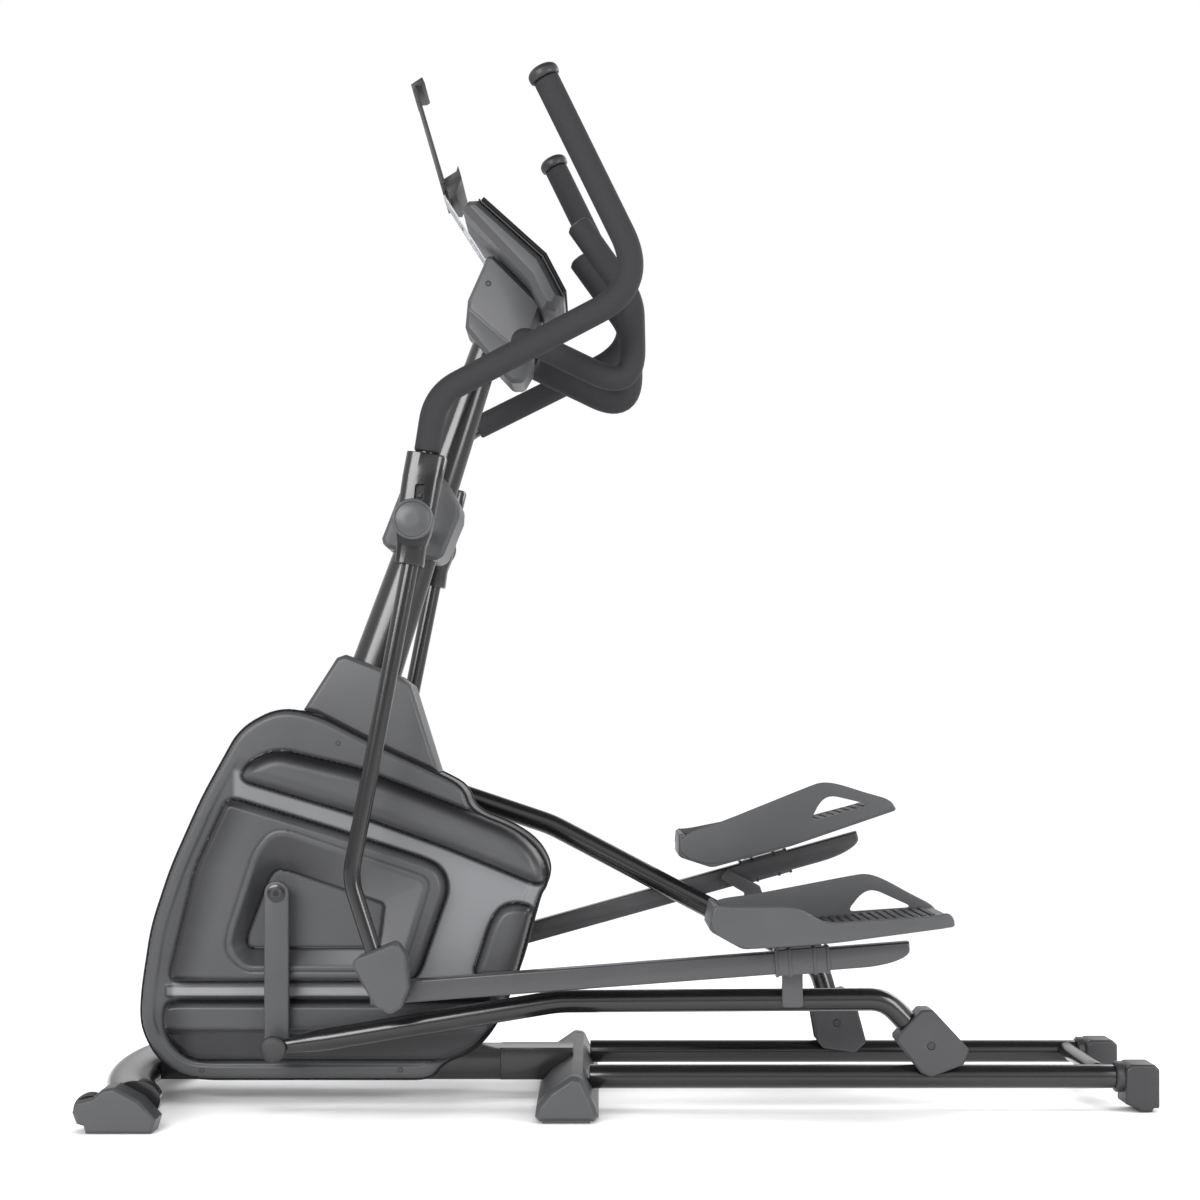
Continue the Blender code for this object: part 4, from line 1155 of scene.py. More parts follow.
    def fields(self, x: np.ndarray, z: np.ndarray) -> dict[str, np.ndarray]:
        """How deep each point lies in each of the raised fields.

        Args:
            x: First coordinates.
            z: Second coordinates.

        Returns:
            Signed distances by field, positive inside it.
        """
        outlines = {"upper": eased(self.upper, 0.022, 5), "main": eased(self.main, 0.018, 5),
                    "lower": eased(self.lower, 0.020, 5), "thumb": eased(self.thumb, 0.016, 5)}
        return {name: inside_depth(x, z, outline) for name, outline in outlines.items()}

    def smooth_outline(self) -> list[Point2]:
        """The shell's outline with its gentle bends drawn as curves."""
        return eased(self.outline, 0.030, 6)

    def dish_rim(self) -> list[Point2]:
        """The dish's upper edge with its corners drawn as curves."""
        return eased(self.dish, 0.014, 4)

    def dish_base(self) -> list[Point2]:
        """The dish's flat floor with its corners drawn as curves."""
        return eased(self.dish_floor, 0.007, 3)

    def over_brow(self, x: np.ndarray, z: np.ndarray) -> np.ndarray:
        """Height over the slanting line that the upper field starts from."""
        return z - self.brow_height + self.brow_slope * (x + self.brow_reach)

    def recessed(self, x: np.ndarray, z: np.ndarray) -> np.ndarray:
        """Painted light: 1 on the recessed ground below the upper field and on the lit side of the dish.

        Args:
            x: First coordinates.
            z: Second coordinates.

        Returns:
            The painted light mask.
        """
        # Painted light: the ground between the raised fields is lightened.
        raised = np.max(list(self.fields(x, z).values()), axis=0)
        edge = inside_depth(x, z, self.smooth_outline())
        below = np.clip(-self.over_brow(x, z) / 0.008, 0, 1)
        right = np.clip((x + 0.612 + np.where(z < 0.187, 0.094, 0)) / 0.006, 0, 1)
        ground = np.clip(np.minimum(-raised, edge - 0.004) / 0.003, 0, 1) * below * right
        ground *= np.clip((z - 0.158) / 0.003, 0, 1)
        dish = inside_depth(x, z, self.dish_rim())
        base = inside_depth(x, z, self.dish_base())
        # Painted light on the slope of the dish that faces the light.
        about = np.arctan2(z - 0.290, x + 0.460) + math.radians(40)
        slope = np.clip(dish / 0.004, 0, 1) * np.clip(-base / 0.003, 0, 1)
        return np.maximum(ground, 0.75 * slope * np.clip(np.cos(about), 0, 1))

    def painted_shade(self, x: np.ndarray, z: np.ndarray) -> np.ndarray:
        """Painted shade: dark lines round the raised fields and the dish, and soft painted shade on their
        turned sides.

        Args:
            x: First coordinates.
            z: Second coordinates.

        Returns:
            The painted shade mask, 1 where the shell is darkest.
        """
        def line(depth: np.ndarray, half: float, soft: float) -> np.ndarray:
            """1 on a field's border, 0 a little way off it."""
            return 1 - np.clip((np.abs(depth) - half) / soft, 0, 1)

        def fade(depth: np.ndarray, run: float) -> np.ndarray:
            """1 at a border, falling to 0 a run inside it."""
            return smooth(1 - np.clip(depth / run, 0, 1))

        depths = self.fields(x, z)
        # Painted shade: dark lines in the grooves round every raised field.
        painted_shading_masks = [line(depth + 0.0010, 0.0026, 0.0030) for depth in depths.values()]
        # Painted shade under the upper field's top edge, on the main field's left side, on the lower field's
        # down-facing facet and left end, and on the thumb's right side.
        above = np.clip(self.over_brow(x, z) / 0.012, 0, 1)
        painted_shading_masks.append(np.where(depths["upper"] > 0, above * fade(depths["upper"], 0.030), 0))
        from_left = x - np.interp(z, (0.188, 0.198, 0.362, 0.472), (-0.700, -0.708, -0.668, -0.618))
        painted_shading_masks.append(np.where(depths["main"] > 0, 0.85 * fade(from_left, 0.060), 0))
        shade = np.clip((0.112 - z) / 0.006, 0, 1) * 0.62 + 0.85 * fade(x + 0.716, 0.055)
        painted_shading_masks.append(np.where(depths["lower"] > 0, np.clip(shade, 0, 1), 0))
        right = np.clip((x + 0.205 - 0.28 * (z - 0.200)) / 0.030, 0, 1)
        painted_shading_masks.append(np.where(depths["thumb"] > 0, 0.85 * right, 0))
        # Painted shade along the dish's outer line, its floor edge and its shaded slopes.
        dish, base = self.dish_rim(), self.dish_base()
        into, rim = inside_depth(x, z, dish), inside_depth(x, z, base)
        painted_shading_masks.append(0.55 * line(inside_depth(x, z, inset(dish, -0.0075)), 0.0004, 0.0026))
        painted_shading_masks.append(0.95 * line(rim, 0.0018, 0.0024))
        about = np.arctan2(z - 0.290, x + 0.460) - math.radians(150)
        slope = np.clip(into / 0.004, 0, 1) * np.clip(-rim / 0.003, 0, 1)
        painted_shading_masks.append(0.55 * slope * np.clip(np.cos(about), 0, 1))
        return np.max(painted_shading_masks, axis=0)

    def skin(self) -> tuple[Blank, dict[str, np.ndarray]]:
        """The shell as a closed solid: relief, side wall, lip and flat inner face.

        Returns:
            The blank, on +Y, and the values of its crease attribute (painted shade) and field attribute
            (painted light).
        """
        xs = np.arange(-0.760, -0.116, self.step)
        zs = np.arange(0.030, 0.616, self.step)
        grid_x, grid_z = np.meshgrid(xs, zs, indexing="ij")
        depth = inside_depth(grid_x, grid_z, self.smooth_outline())
        near = (depth < 0) & (depth > -1.5 * self.step)
        grid_x[near], grid_z[near] = self.pulled(grid_x[near], grid_z[near])
        usable = depth > -1.5 * self.step
        centre = (depth[:-1, :-1] + depth[1:, :-1] + depth[:-1, 1:] + depth[1:, 1:]) / 4
        cells = (centre > 0) & usable[:-1, :-1] & usable[1:, :-1] & usable[:-1, 1:] & usable[1:, 1:]
        number = np.full(grid_x.shape, -1)
        faces, used = [], []
        for i, k in zip(*np.nonzero(cells)):
            corner = []
            for a, b in ((i, k), (i + 1, k), (i + 1, k + 1), (i, k + 1)):
                if number[a, b] < 0:
                    number[a, b] = len(used)
                    used.append((a, b))
                corner.append(int(number[a, b]))
            faces.append(tuple(corner))
        pick = tuple(np.array(used).T)
        x, z = grid_x[pick], grid_z[pick]
        loop = self.border(faces)
        x[loop], z[loop] = self.pulled(x[loop], z[loop])
        points = np.column_stack((x, self.height(x, z), z))
        shell = self.closed(Blank(points, faces), loop)
        # Painted shade in the grooves (crease) and painted light on the recessed ground (field), kept as
        # point attributes.
        painted_shading_masks = {"crease": self.painted_shade(x, z), "field": self.recessed(x, z)}
        spare = np.zeros(len(shell.points) - len(points))
        return shell, {name: np.concatenate((mask, spare)) for name, mask in painted_shading_masks.items()}

    def pulled(self, x: np.ndarray, z: np.ndarray) -> tuple[np.ndarray, np.ndarray]:
        """The nearest points on the outline.

        Args:
            x: First coordinates.
            z: Second coordinates.

        Returns:
            New first and second coordinates.
        """
        best = np.full(x.shape, 1e9)
        at_x, at_z = x.copy(), z.copy()
        ring = self.smooth_outline()
        for (ax, az), (bx, bz) in zip(ring, ring[1:] + ring[:1]):
            dx, dz = bx - ax, bz - az
            t = np.clip(((x - ax) * dx + (z - az) * dz) / (dx * dx + dz * dz), 0, 1)
            px, pz = ax + t * dx, az + t * dz
            gap = np.hypot(x - px, z - pz)
            closer = gap < best
            best = np.where(closer, gap, best)
            at_x, at_z = np.where(closer, px, at_x), np.where(closer, pz, at_z)
        return at_x, at_z

    @staticmethod
    def border(faces: Sequence[tuple[int, ...]]) -> list[int]:
        """The longest ring of edges that belong to one face only.

        Args:
            faces: The faces of the relief.

        Returns:
            Point numbers, in the faces' direction.
        """
        edges = {}
        for face in faces:
            for a, b in zip(face, face[1:] + face[:1]):
                edges[(a, b)] = edges.get((a, b), 0) + 1
        after = {a: b for a, b in edges if (b, a) not in edges}
        rings, left = [], set(after)
        while left:
            start = min(left)
            ring, here = [], start
            while here in left:
                left.discard(here)
                ring.append(here)
                here = after[here]
            rings.append(ring)
        return max(rings, key=len)

    def closed(self, relief: Blank, loop: Sequence[int]) -> Blank:
        """Add the side wall, the lip at the middle plane and the inner faces.

        Args:
            relief: The outer face.
            loop: Its border.

        Returns:
            A closed solid.
        """
        border = relief.points[list(loop)]
        flat = [(p[0], p[2]) for p in border]
        inner = inset(flat, 0.0028)
        rings = [[(px, 0.0002, pz) for px, pz in flat], [(px, 0.0002, pz) for px, pz in inner],
                 [(px, 0.0560, pz) for px, pz in inner]]
        points, faces = [relief.points], list(relief.faces)
        base, count = len(relief.points), len(loop)
        previous = list(loop)
        for ring in rings:
            points.append(np.array(ring))
            numbers = list(range(base, base + count))
            base += count
            for k in range(count):
                n = (k + 1) % count
                faces.append((previous[n], previous[k], numbers[k], numbers[n]))
            previous = numbers
        faces.append(tuple(previous))
        return Blank(np.vstack(points), faces)

    def build(self) -> None:
        """Make the shell, its edge trim and its screws."""
        side = self.side
        skin, painted_shading_masks = self.skin()
        shell = skin.placed((0, 0), 0, side.sign).mesh_object(side.label("cover_shell"))
        # Store the painted shade and painted light values on the shell as point attributes for its material.
        for name, values in painted_shading_masks.items():
            attribute = shell.data.attributes.new(name, "FLOAT", "POINT")
            attribute.data.foreach_set("value", values.astype(np.float32))
        dressed(shell, SHELL_GREY, "frame", [side.label("housing_shell")], crease=50)
        ring = [Vector((x, 0.0600, z)) for x, z in self.smooth_outline()]
        trim = self.trim(ring).placed((0, 0), 0, side.sign).mesh_object(side.label("cover_trim"))
        dressed(trim, TRIM_BLACK, "frame")
        places = [(-0.4480, 0.0690, 0.5550), (-0.6580, 0.0690, 0.0510), (-0.3520, 0.0690, 0.0510)]
        screw_row(side.label("cover_screws"), "frame", [(x, y * side.sign, z) for x, y, z in places],
                  side.sign)

    @staticmethod
    def trim(ring: Sequence[Vector]) -> Blank:
        """A dark bead round the shell's edge.

        Args:
            ring: Its closed centre line.

        Returns:
            The bead.
        """
        rings = []
        for k in range(10):
            angle = 2 * math.pi * k / 10
            grown = inset([(p.x, p.z) for p in ring], 0.0012 - 0.0036 * math.cos(angle))
            rings.append(np.array([(x, ring[0].y + 0.0050 * math.sin(angle), z) for x, z in grown]))
        return Blank.loft(rings, closed=True)


@dataclass
class MastCovers:
    """The tapered mast, the shroud at its foot and the cover at the arms' pivot."""

    low: Point2 = (-0.4142, 0.620)
    high: Point2 = (-0.1985, 1.250)

    def mast(self) -> None:
        """The mast: an oval tube that narrows towards the console."""
        path = [Vector((self.low[0] + t * (self.high[0] - self.low[0]), 0,
                        self.low[1] + t * (self.high[1] - self.low[1])))
                for t in np.linspace(0, 1, 40)]
        length = (path[-1] - path[0]).length

        def size(start: float, end: float) -> Point2:
            """Half widths across and along X for the taper."""
            t = start / length
            return 0.028 - 0.006 * t, 0.0425 - 0.0215 * t

        made = Blank.swept(path, size, 48).placed((0, 0), 0, 1).mesh_object("mast_tube")
        dressed(made, STEEL_BLACK, "frame", ["mast"])

    def build(self) -> None:
        """Make the mast and its covers."""
        self.mast()
        softened("neck_shroud", COVER_GREY, 0.0080, 6)
        softened("pivot_cover", COVER_GREY, 0.0035, 4)


# ---------------------------------------------------------------- base
@dataclass
class Base:
    """What stands on the floor: stabilizers, rails, caps and feet, and the drive inside."""

    rail_plane: float = 0.120
    rail_height: float = 0.050
    rail_radius: float = 0.018

    def front_tube(self) -> None:
        """The bowed oval tube at the front."""
        path = [Vector((-0.768 + 0.053 * (k / 30) ** 2, 0.245 * k / 30, 0.040))
                for k in range(-30, 31)]
        path = [Vector((-0.715, -0.2617, 0.040))] + path + [Vector((-0.715, 0.2617, 0.040))]
        made = Blank.swept(path, lambda start, end: (0.036, 0.028), 48, guide=(1, 0, 0))
        made = made.placed((0, 0), 0, 1).mesh_object("front_tube")
        dressed(made, STEEL_BLACK, "frame", ["front_stabilizer"])

    def rails(self) -> None:
        """The two rails, the collars at their ends and the tube between them."""
        for side in SIDES:
            line = [Vector((x, self.rail_plane, self.rail_height)) for x in (-0.060, 0.764)]
            rail = tube(line, self.rail_radius, spacing=0.05, sides=48)
            rail = rail.placed((0, 0), 0, side.sign).mesh_object(side.label("rail_tube"))
            dressed(rail, STEEL_BLACK, "frame", [side.label("rail")])
            collar = Blank.turned([(0.0, 0.0182), (0.0, 0.0215), (0.002, 0.0235), (0.012, 0.0235),
                                   (0.014, 0.0215), (0.014, 0.0182)],
                                  (0.7355, self.rail_plane, self.rail_height), (1, 0, 0), 48, True)
            collar = collar.placed((0, 0), 0, side.sign).mesh_object(side.label("rail_collar"))
            dressed(collar, DARK_MOULDED, "frame")
        cross = tube([Vector((0.716, y, 0.055)) for y in (-0.1012, 0.1012)], 0.0125, 0.0008, 0.04,
                     guide=(1, 0, 0))
        dressed(cross.placed((0, 0), 0, 1).mesh_object("cross_tube"), STEEL_BLACK, "frame",
                ["rail_cross_tube"])

    def saddle(self) -> None:
        """The sleeve that joins the beam's end to the middle stabilizer."""
        outline = [(-0.2000, 0.0292), (-0.1340, 0.0292), (-0.1180, 0.0465), (-0.1000, 0.0590),
                   (-0.0860, 0.0680), (-0.0860, 0.0790), (-0.2000, 0.0790)]
        made = Blank.plate(outline, -0.0312, 0.0312, 0.0020, 3).placed((0, 0), 0, 1)
        dressed(made.mesh_object("beam_saddle"), STEEL_BLACK, "frame")

    def wheel(self, side: Side) -> None:
        """A transport wheel with a tread and a hub.

        Args:
            side: Its side.
        """
        profile = [(0.0, 0.0045), (0.0, 0.0120), (0.0015, 0.0135), (0.0015, 0.0195),
                   (0.0, 0.0215), (0.0012, 0.0238), (0.0040, 0.0245), (0.0092, 0.0245),
                   (0.0100, 0.0236), (0.0108, 0.0245), (0.0160, 0.0245), (0.0188, 0.0238),
                   (0.0200, 0.0215), (0.0185, 0.0195), (0.0185, 0.0135), (0.0200, 0.0120),
                   (0.0200, 0.0045)]
        made = Blank.turned(profile, (0, 0.2720, 0), (0, 1, 0), 48, True)
        made = made.placed((-0.773, 0.0305), 0, side.sign)
        dressed(made.mesh_object(side.label("wheel_tyre")), WHEEL_RUBBER,
                side.label("transport"), [side.label("transport_wheel")])

    def build(self) -> None:
        """Make the base and dress the drive inside the covers."""
        self.front_tube()
        self.rails()
        self.saddle()
        softened("middle_stabilizer", PART_GREY, 0.0060, 4)
        softened("base_beam", STEEL_BLACK, 0.0020, 2)
        for side in SIDES:
            self.wheel(side)
            softened(side.label("front_cap"), PART_GREY, 0.0070, 5)
            softened(side.label("middle_cap"), PART_GREY, 0.0070, 5)
            softened(side.label("rail_cap"), DARK_MOULDED, 0.0030)
        for name in ("frame_post", "crank_axle", "pivot_axle", "drive_pulley", "drive_belt",
                     "flywheel", "brake_arm"):
            finish = {"drive_belt": WHEEL_RUBBER, "frame_post": STEEL_BLACK,
                      "crank_axle": BARE_STEEL, "pivot_axle": BARE_STEEL}.get(name, CAST_BLACK)
            dress_node(name, finish)


# ---------------------------------------------------------------- linkage
@dataclass
class Linkage:
    """One side's crank arm, roller bar, roller, pedal bar and footrest."""

    side: Side
    arm_inner: float = 0.102
    arm_outer: float = 0.114
    arm_length: float = 0.232
    arm_half: float = 0.0188
    bar_length: float = 0.990
    bar_radius: float = 0.0172
    bar_plane: float = 0.134
    pedal_pivot: Point2 = (-0.25834524, 0.1278064)
    beam_half: float = 0.0165
    beam_inner: float = 0.155
    beam_outer: float = 0.183
    pedal_near: float = 0.075
    pedal_far: float = 0.225
    tray: tuple[Point2, ...] = (
        (0.1154, 0.2806), (0.1652, 0.2529), (0.300, 0.2625), (0.4782, 0.2865), (0.4694, 0.3040),
        (0.300, 0.2870), (0.240, 0.2830), (0.1180, 0.2950),
    )
    wall: tuple[Point2, ...] = (
        (0.1154, 0.2806), (0.1652, 0.2529), (0.300, 0.2625), (0.4782, 0.2865), (0.4694, 0.3084),
        (0.4475, 0.3026), (0.2851, 0.2920), (0.2600, 0.3070), (0.2400, 0.3160), (0.1403, 0.3157),
        (0.1227, 0.3200),
    )
    fin: tuple[Point2, ...] = (
        (0.1170, 0.2830), (0.1652, 0.2560), (0.300, 0.2650), (0.4760, 0.2890), (0.4694, 0.3060),
        (0.4350, 0.3230), (0.3900, 0.3480), (0.3656, 0.3550), (0.3450, 0.3520), (0.1960, 0.3235),
        (0.1240, 0.3140),
    )
    window: tuple[Point2, ...] = (
        (0.3350, 0.2960), (0.3580, 0.3250), (0.3760, 0.3310), (0.4380, 0.3030),
    )
    toe: tuple[Point2, ...] = (
        (0.1154, 0.2806), (0.1290, 0.2806), (0.1330, 0.3150), (0.1235, 0.3185),
    )

    def shown(self, blank: Blank, name: str, finish: Finish, body: str, origin: Point2,
              degrees: float, stands_for: Sequence[str] = (), crease: float = 35.0) -> None:
        """Place a blank on this side and dress it.

        Args:
            blank: The shape, drawn about its pivot on +Y.
            name: The piece, without its side.
            finish: Its finish.
            body: The body, without its side unless it has none.
            origin: The pivot.
            degrees: The turn at rest.
            stands_for: Nodes it replaces, without their side.
            crease: Edges sharper than this stay crisp.
        """
        obj = blank.placed(origin, degrees, self.side.sign).mesh_object(self.side.label(name))
        on = body if body in ("crank", "frame") else self.side.label(body)
        dressed(obj, finish, on, [self.side.label(n) for n in stands_for], crease)

    def crank_arm(self) -> None:
        """The flat crank arm with round ends, its bolt and its washer."""
        arc = [math.pi * k / 20 for k in range(21)]
        half = self.arm_half
        outline = [(half * math.cos(a), half * math.sin(a)) for a in arc]
        outline += [(-half * math.cos(a), -self.arm_length - half * math.sin(a)) for a in arc]
        arm = Blank.plate(outline, self.arm_inner, self.arm_outer, 0.0026, 4)
        turn_by = self.side.crank
        self.shown(arm, "crank_plate", PART_GREY, "crank", CRANK_AXIS, turn_by, ["crank_arm"], 50)
        washer = Blank.turned([(0, 0.0137), (0.0012, 0.0137), (0.0016, 0.0130), (0.0016, 0.0060)],
                              (0, self.arm_outer, 0), (0, 1, 0))
        self.shown(washer, "crank_washer", STEEL_BLACK, "crank", CRANK_AXIS, turn_by)
        bolt = [(0, 0.0095), (0.0012, 0.0095)]
        bolt += [(0.0012 + 0.0010 * math.sin(a), 0.0085 + 0.0010 * math.cos(a))
                 for a in np.linspace(0.2, 1.5, 5)]
        bolt += [(0.0022, 0.0045), (0.0012, 0.0040), (0.0012, 0.0010)]
        head = Blank.turned(bolt, (0, self.arm_outer + 0.0002, 0), (0, 1, 0))
        self.shown(head, "crank_bolt", CAST_BLACK, "crank", CRANK_AXIS, turn_by)

    def bar_path(self) -> list[Vector]:
        """Centre line of the roller bar, about the roller's axle."""
        return bent([(-0.985, self.bar_plane, 0.001), (-0.561, self.bar_plane, 0.0685),
                     (-0.066, 0.126, 0.0680), (-0.030, 0.122, 0.0300)], [0.20, 0.055])

    def roller_bar(self) -> None:
        """The long bent bar, its eye and cap at the crank, and its pivot bracket."""
        origin, degrees = (self.side.roller, ROLLER_HEIGHT), self.side.bar

        def size(start: float, end: float) -> Point2:
            """Round over most of its length, pressed flat at the crank's end."""
            t = smooth(min(1.0, start / 0.075))
            return (0.0068 + (self.bar_radius - 0.0068) * t,
                    0.0105 + (self.bar_radius - 0.0105) * t)

        bar = Blank.swept(resampled(self.bar_path(), 0.010), size, 36)
        self.shown(bar, "bar_tube", STEEL_BLACK, "bar", origin, degrees, ["roller_bar"])
        pin = (-self.bar_length, 0, 0)
        eye = Blank.turned([(0, 0.0138), (0.0012, 0.0150), (0.0238, 0.0150)],
                           (pin[0], self.arm_outer + 0.0006, 0), (0, 1, 0))
        self.shown(eye, "bar_eye", STEEL_BLACK, "bar", origin, degrees)
        dome = [(0, 0.0165), (0.0012, 0.0186), (0.0032, 0.0197), (0.0080, 0.0198)]
        dome += [(0.0080 + 0.0064 * math.sin(a), 0.0072 + 0.0126 * math.cos(a))
                 for a in np.linspace(0.15, 1.55, 9)]
        cap = Blank.turned(dome, (pin[0], 0.1380, 0), (0, 1, 0))
        self.shown(cap, "pin_cap", CAST_BLACK, "bar", origin, degrees)
        px, pz = self.pedal_pivot
        outline = rounded([(px - 0.013, pz + 0.010), (px - 0.013, pz - 0.010), (px + 0.034, pz - 0.012),
                           (px + 0.034, 0.060), (px + 0.065, 0.060), (px + 0.065, pz - 0.004),
                           (px + 0.050, pz + 0.010)], 0.005)
        plate = Blank.plate(outline, 0.1460, 0.1543, 0.0012)
        foot = Blank.plate([(px + 0.036, 0.070), (px + 0.063, 0.070), (px + 0.063, 0.0905),
                            (px + 0.036, 0.0905)], 0.118, 0.150, 0.0015)
        pivot = Blank.turned([(0, 0.0080), (0.0310, 0.0080), (0.0318, 0.0070)],
                             (px, 0.150, pz), (0, 1, 0))
        self.shown(plate.with_others(foot, pivot), "bar_bracket", BAR_GREY, "bar", origin,
                   degrees)

    def roller(self) -> None:
        """The roller's tyre and hub, its axle and its housing."""
        origin = (self.side.roller, ROLLER_HEIGHT)
        profile = [(0.0, 0.0064), (0.0, 0.0180), (0.0022, 0.0200), (0.0022, 0.0250),
                   (0.0, 0.0270), (0.0006, 0.0298), (0.0030, 0.0317), (0.0330, 0.0317),
                   (0.0354, 0.0298), (0.0360, 0.0270), (0.0338, 0.0250), (0.0338, 0.0200),
                   (0.0360, 0.0180), (0.0360, 0.0064)]
        wheel = Blank.turned(profile, (0, 0.1020, 0), (0, 1, 0), 48, True)
        self.shown(wheel, "roller_tyre", WHEEL_RUBBER, "roller", origin, 0, ["roller_wheel"])
        axle = Blank.turned([(0, 0.0048), (0.0010, 0.0060), (0.0530, 0.0060), (0.0540, 0.0048)],
                            (0, 0.0930, 0), (0, 1, 0), 24)
        self.shown(axle, "roller_pin", CAST_BLACK, "carriage", origin, 0, ["roller_axle"])
        softened(self.side.label("roller_housing"), HOUSING_GREY, 0.0036, 4)

    def on_pedal(self, points: Sequence[Point2]) -> list[Point2]:
        """Side-view points of the left pedal at rest, turned into the pedal's own frame."""
        pivot, degrees = (0.195, 0.2265), SIDES[0].pedal
        return [turn((x - pivot[0], z - pivot[1]), -degrees) for x, z in points]

    def slab(self, outline: Sequence[Point2], reach: float, steps: int, span: Point2,
             edge: float) -> Blank:
        """A slab of the footrest with eased corners.

        Args:
            outline: Its outline, as the left pedal stands at rest.
            reach: How far from each corner the curve starts.
            steps: Segments in each curve.
            span: Its inner and outer face.
            edge: Radius of its rims.

        Returns:
            The slab, about the pedal's pivot.
        """
        return Blank.plate(eased(self.on_pedal(outline), reach, steps), *span, edge, 4)

    def pedal_origin(self) -> Point2:
        """Where this side's pedal pivot is at rest."""
        x, z = turn(self.pedal_pivot, self.side.bar)
        return (self.side.roller + x, ROLLER_HEIGHT + z)

    def footrest(self) -> None:
        """The pedal bar and the footrest on it: tray, walls, tall fin and ribbed tread."""
        origin, degrees = self.pedal_origin(), self.side.pedal
        self.shown(self.pedal_beam(), "pedal_beam", BAR_GREY, "footrest", origin, degrees,
                   ["pedal_bar"])
        near, far = self.pedal_near, self.pedal_far
        tray = self.slab(self.tray, 0.008, 4, (near + 0.001, far - 0.001), 0.003)
        wall = self.slab(self.wall, 0.022, 8, (far - 0.007, far + 0.0012), 0.0026)
        toe = self.slab(self.toe, 0.005, 4, (near + 0.0005, far - 0.0005), 0.003)
        seat = Blank.plate([(0.030, 0.0213), (0.092, 0.0213), (0.092, 0.053), (0.030, 0.053)],
                           0.158, 0.180, 0.0012)
        self.shown(tray.with_others(wall, toe, seat), "pedal_tray", PART_GREY, "footrest", origin,
                   degrees, ["pedal"], 40)
        fin = self.slab(self.fin, 0.034, 10, (near - 0.001, near + 0.006), 0.0020)
        fin = fin.placed(origin, degrees, self.side.sign).mesh_object(self.side.label("pedal_fin"))
        window = Blank.plate(eased(self.on_pedal(self.window), 0.014, 8), 0.05, 0.10, 0.0005, 1)
        cut(fin, window.placed(origin, degrees, self.side.sign))
        dressed(fin, PART_GREY, self.side.label("footrest"), crease=40)
        self.tread(origin, degrees)

    def pedal_beam(self) -> Blank:
        """The flat-sided bar under the pedal, with its curved tail, its ribbed clamp and its boss.

        Returns:
            The blank, about the pedal's pivot.
        """
        half, inner, outer = self.beam_half, self.beam_inner, self.beam_outer

        def block(x0: float, x1: float, grow: float, out: float) -> Blank:
            """A softened block round the bar."""
            corners = [(x0, -half - grow), (x1, -half - grow), (x1, half + grow), (x0, half + grow)]
            return Blank.plate(corners, inner + 0.0005, outer + out, 0.0010, 2)

        tail = [(0.1500 + 0.0725 * math.sin(a), -half + 0.0210 * (1 - math.cos(a)))
                for a in np.linspace(0, math.pi / 2, 10)]
        outline = [(-0.5836, -half)] + tail + [(0.2225, half), (-0.5836, half)]
        beam = Blank.plate(outline, inner, outer, 0.0038, 5)
        ribs = [block(x, x + 0.0042, 0.0040, 0.0035) for x in (0.021, 0.041, 0.078, 0.098)]
        boss = Blank.turned([(0, 0.0140), (0.0275, 0.0140)], (-0.5536, inner + 0.004, 0),
                            (0, 1, 0), 32)
        return beam.with_others(block(0.022, 0.101, 0.0024, 0.0018), boss, *ribs)

    def tread(self, origin: Point2, degrees: float) -> None:
        """The dark ribs across the tray.

        Args:
            origin: The pedal's pivot at rest.
            degrees: The pedal's turn at rest.
        """
        section = [(-0.0042, -0.0030), (0.0042, -0.0030), (0.0030, 0.0026), (-0.0030, 0.0026)]
        rib = Blank.plate(section, self.pedal_near + 0.010, self.pedal_far - 0.012, 0.0008, 2)
        head = rib.placed((-SHIFT_X, 0), degrees + 3, self.side.sign).mesh_object("rib")
        top = self.on_pedal([(0.172, 0.2902), (0.240, 0.2835), (0.300, 0.2873), (0.446, 0.3015)])
        line = resampled([Vector((x, 0, z)) for x, z in top], 0.0125)
        spots = [turn((point.x, point.z), degrees) for point in line]
        places = [(origin[0] + x, 0.0, origin[1] + z) for x, z in spots]
        scattered(self.side.label("pedal_tread"), self.side.label("footrest"), places, head,
                  TREAD_GREY, 0.0)

    def build(self) -> None:
        """Make every piece of this side's linkage."""
        self.crank_arm()
        self.roller_bar()
        self.roller()
        self.footrest()


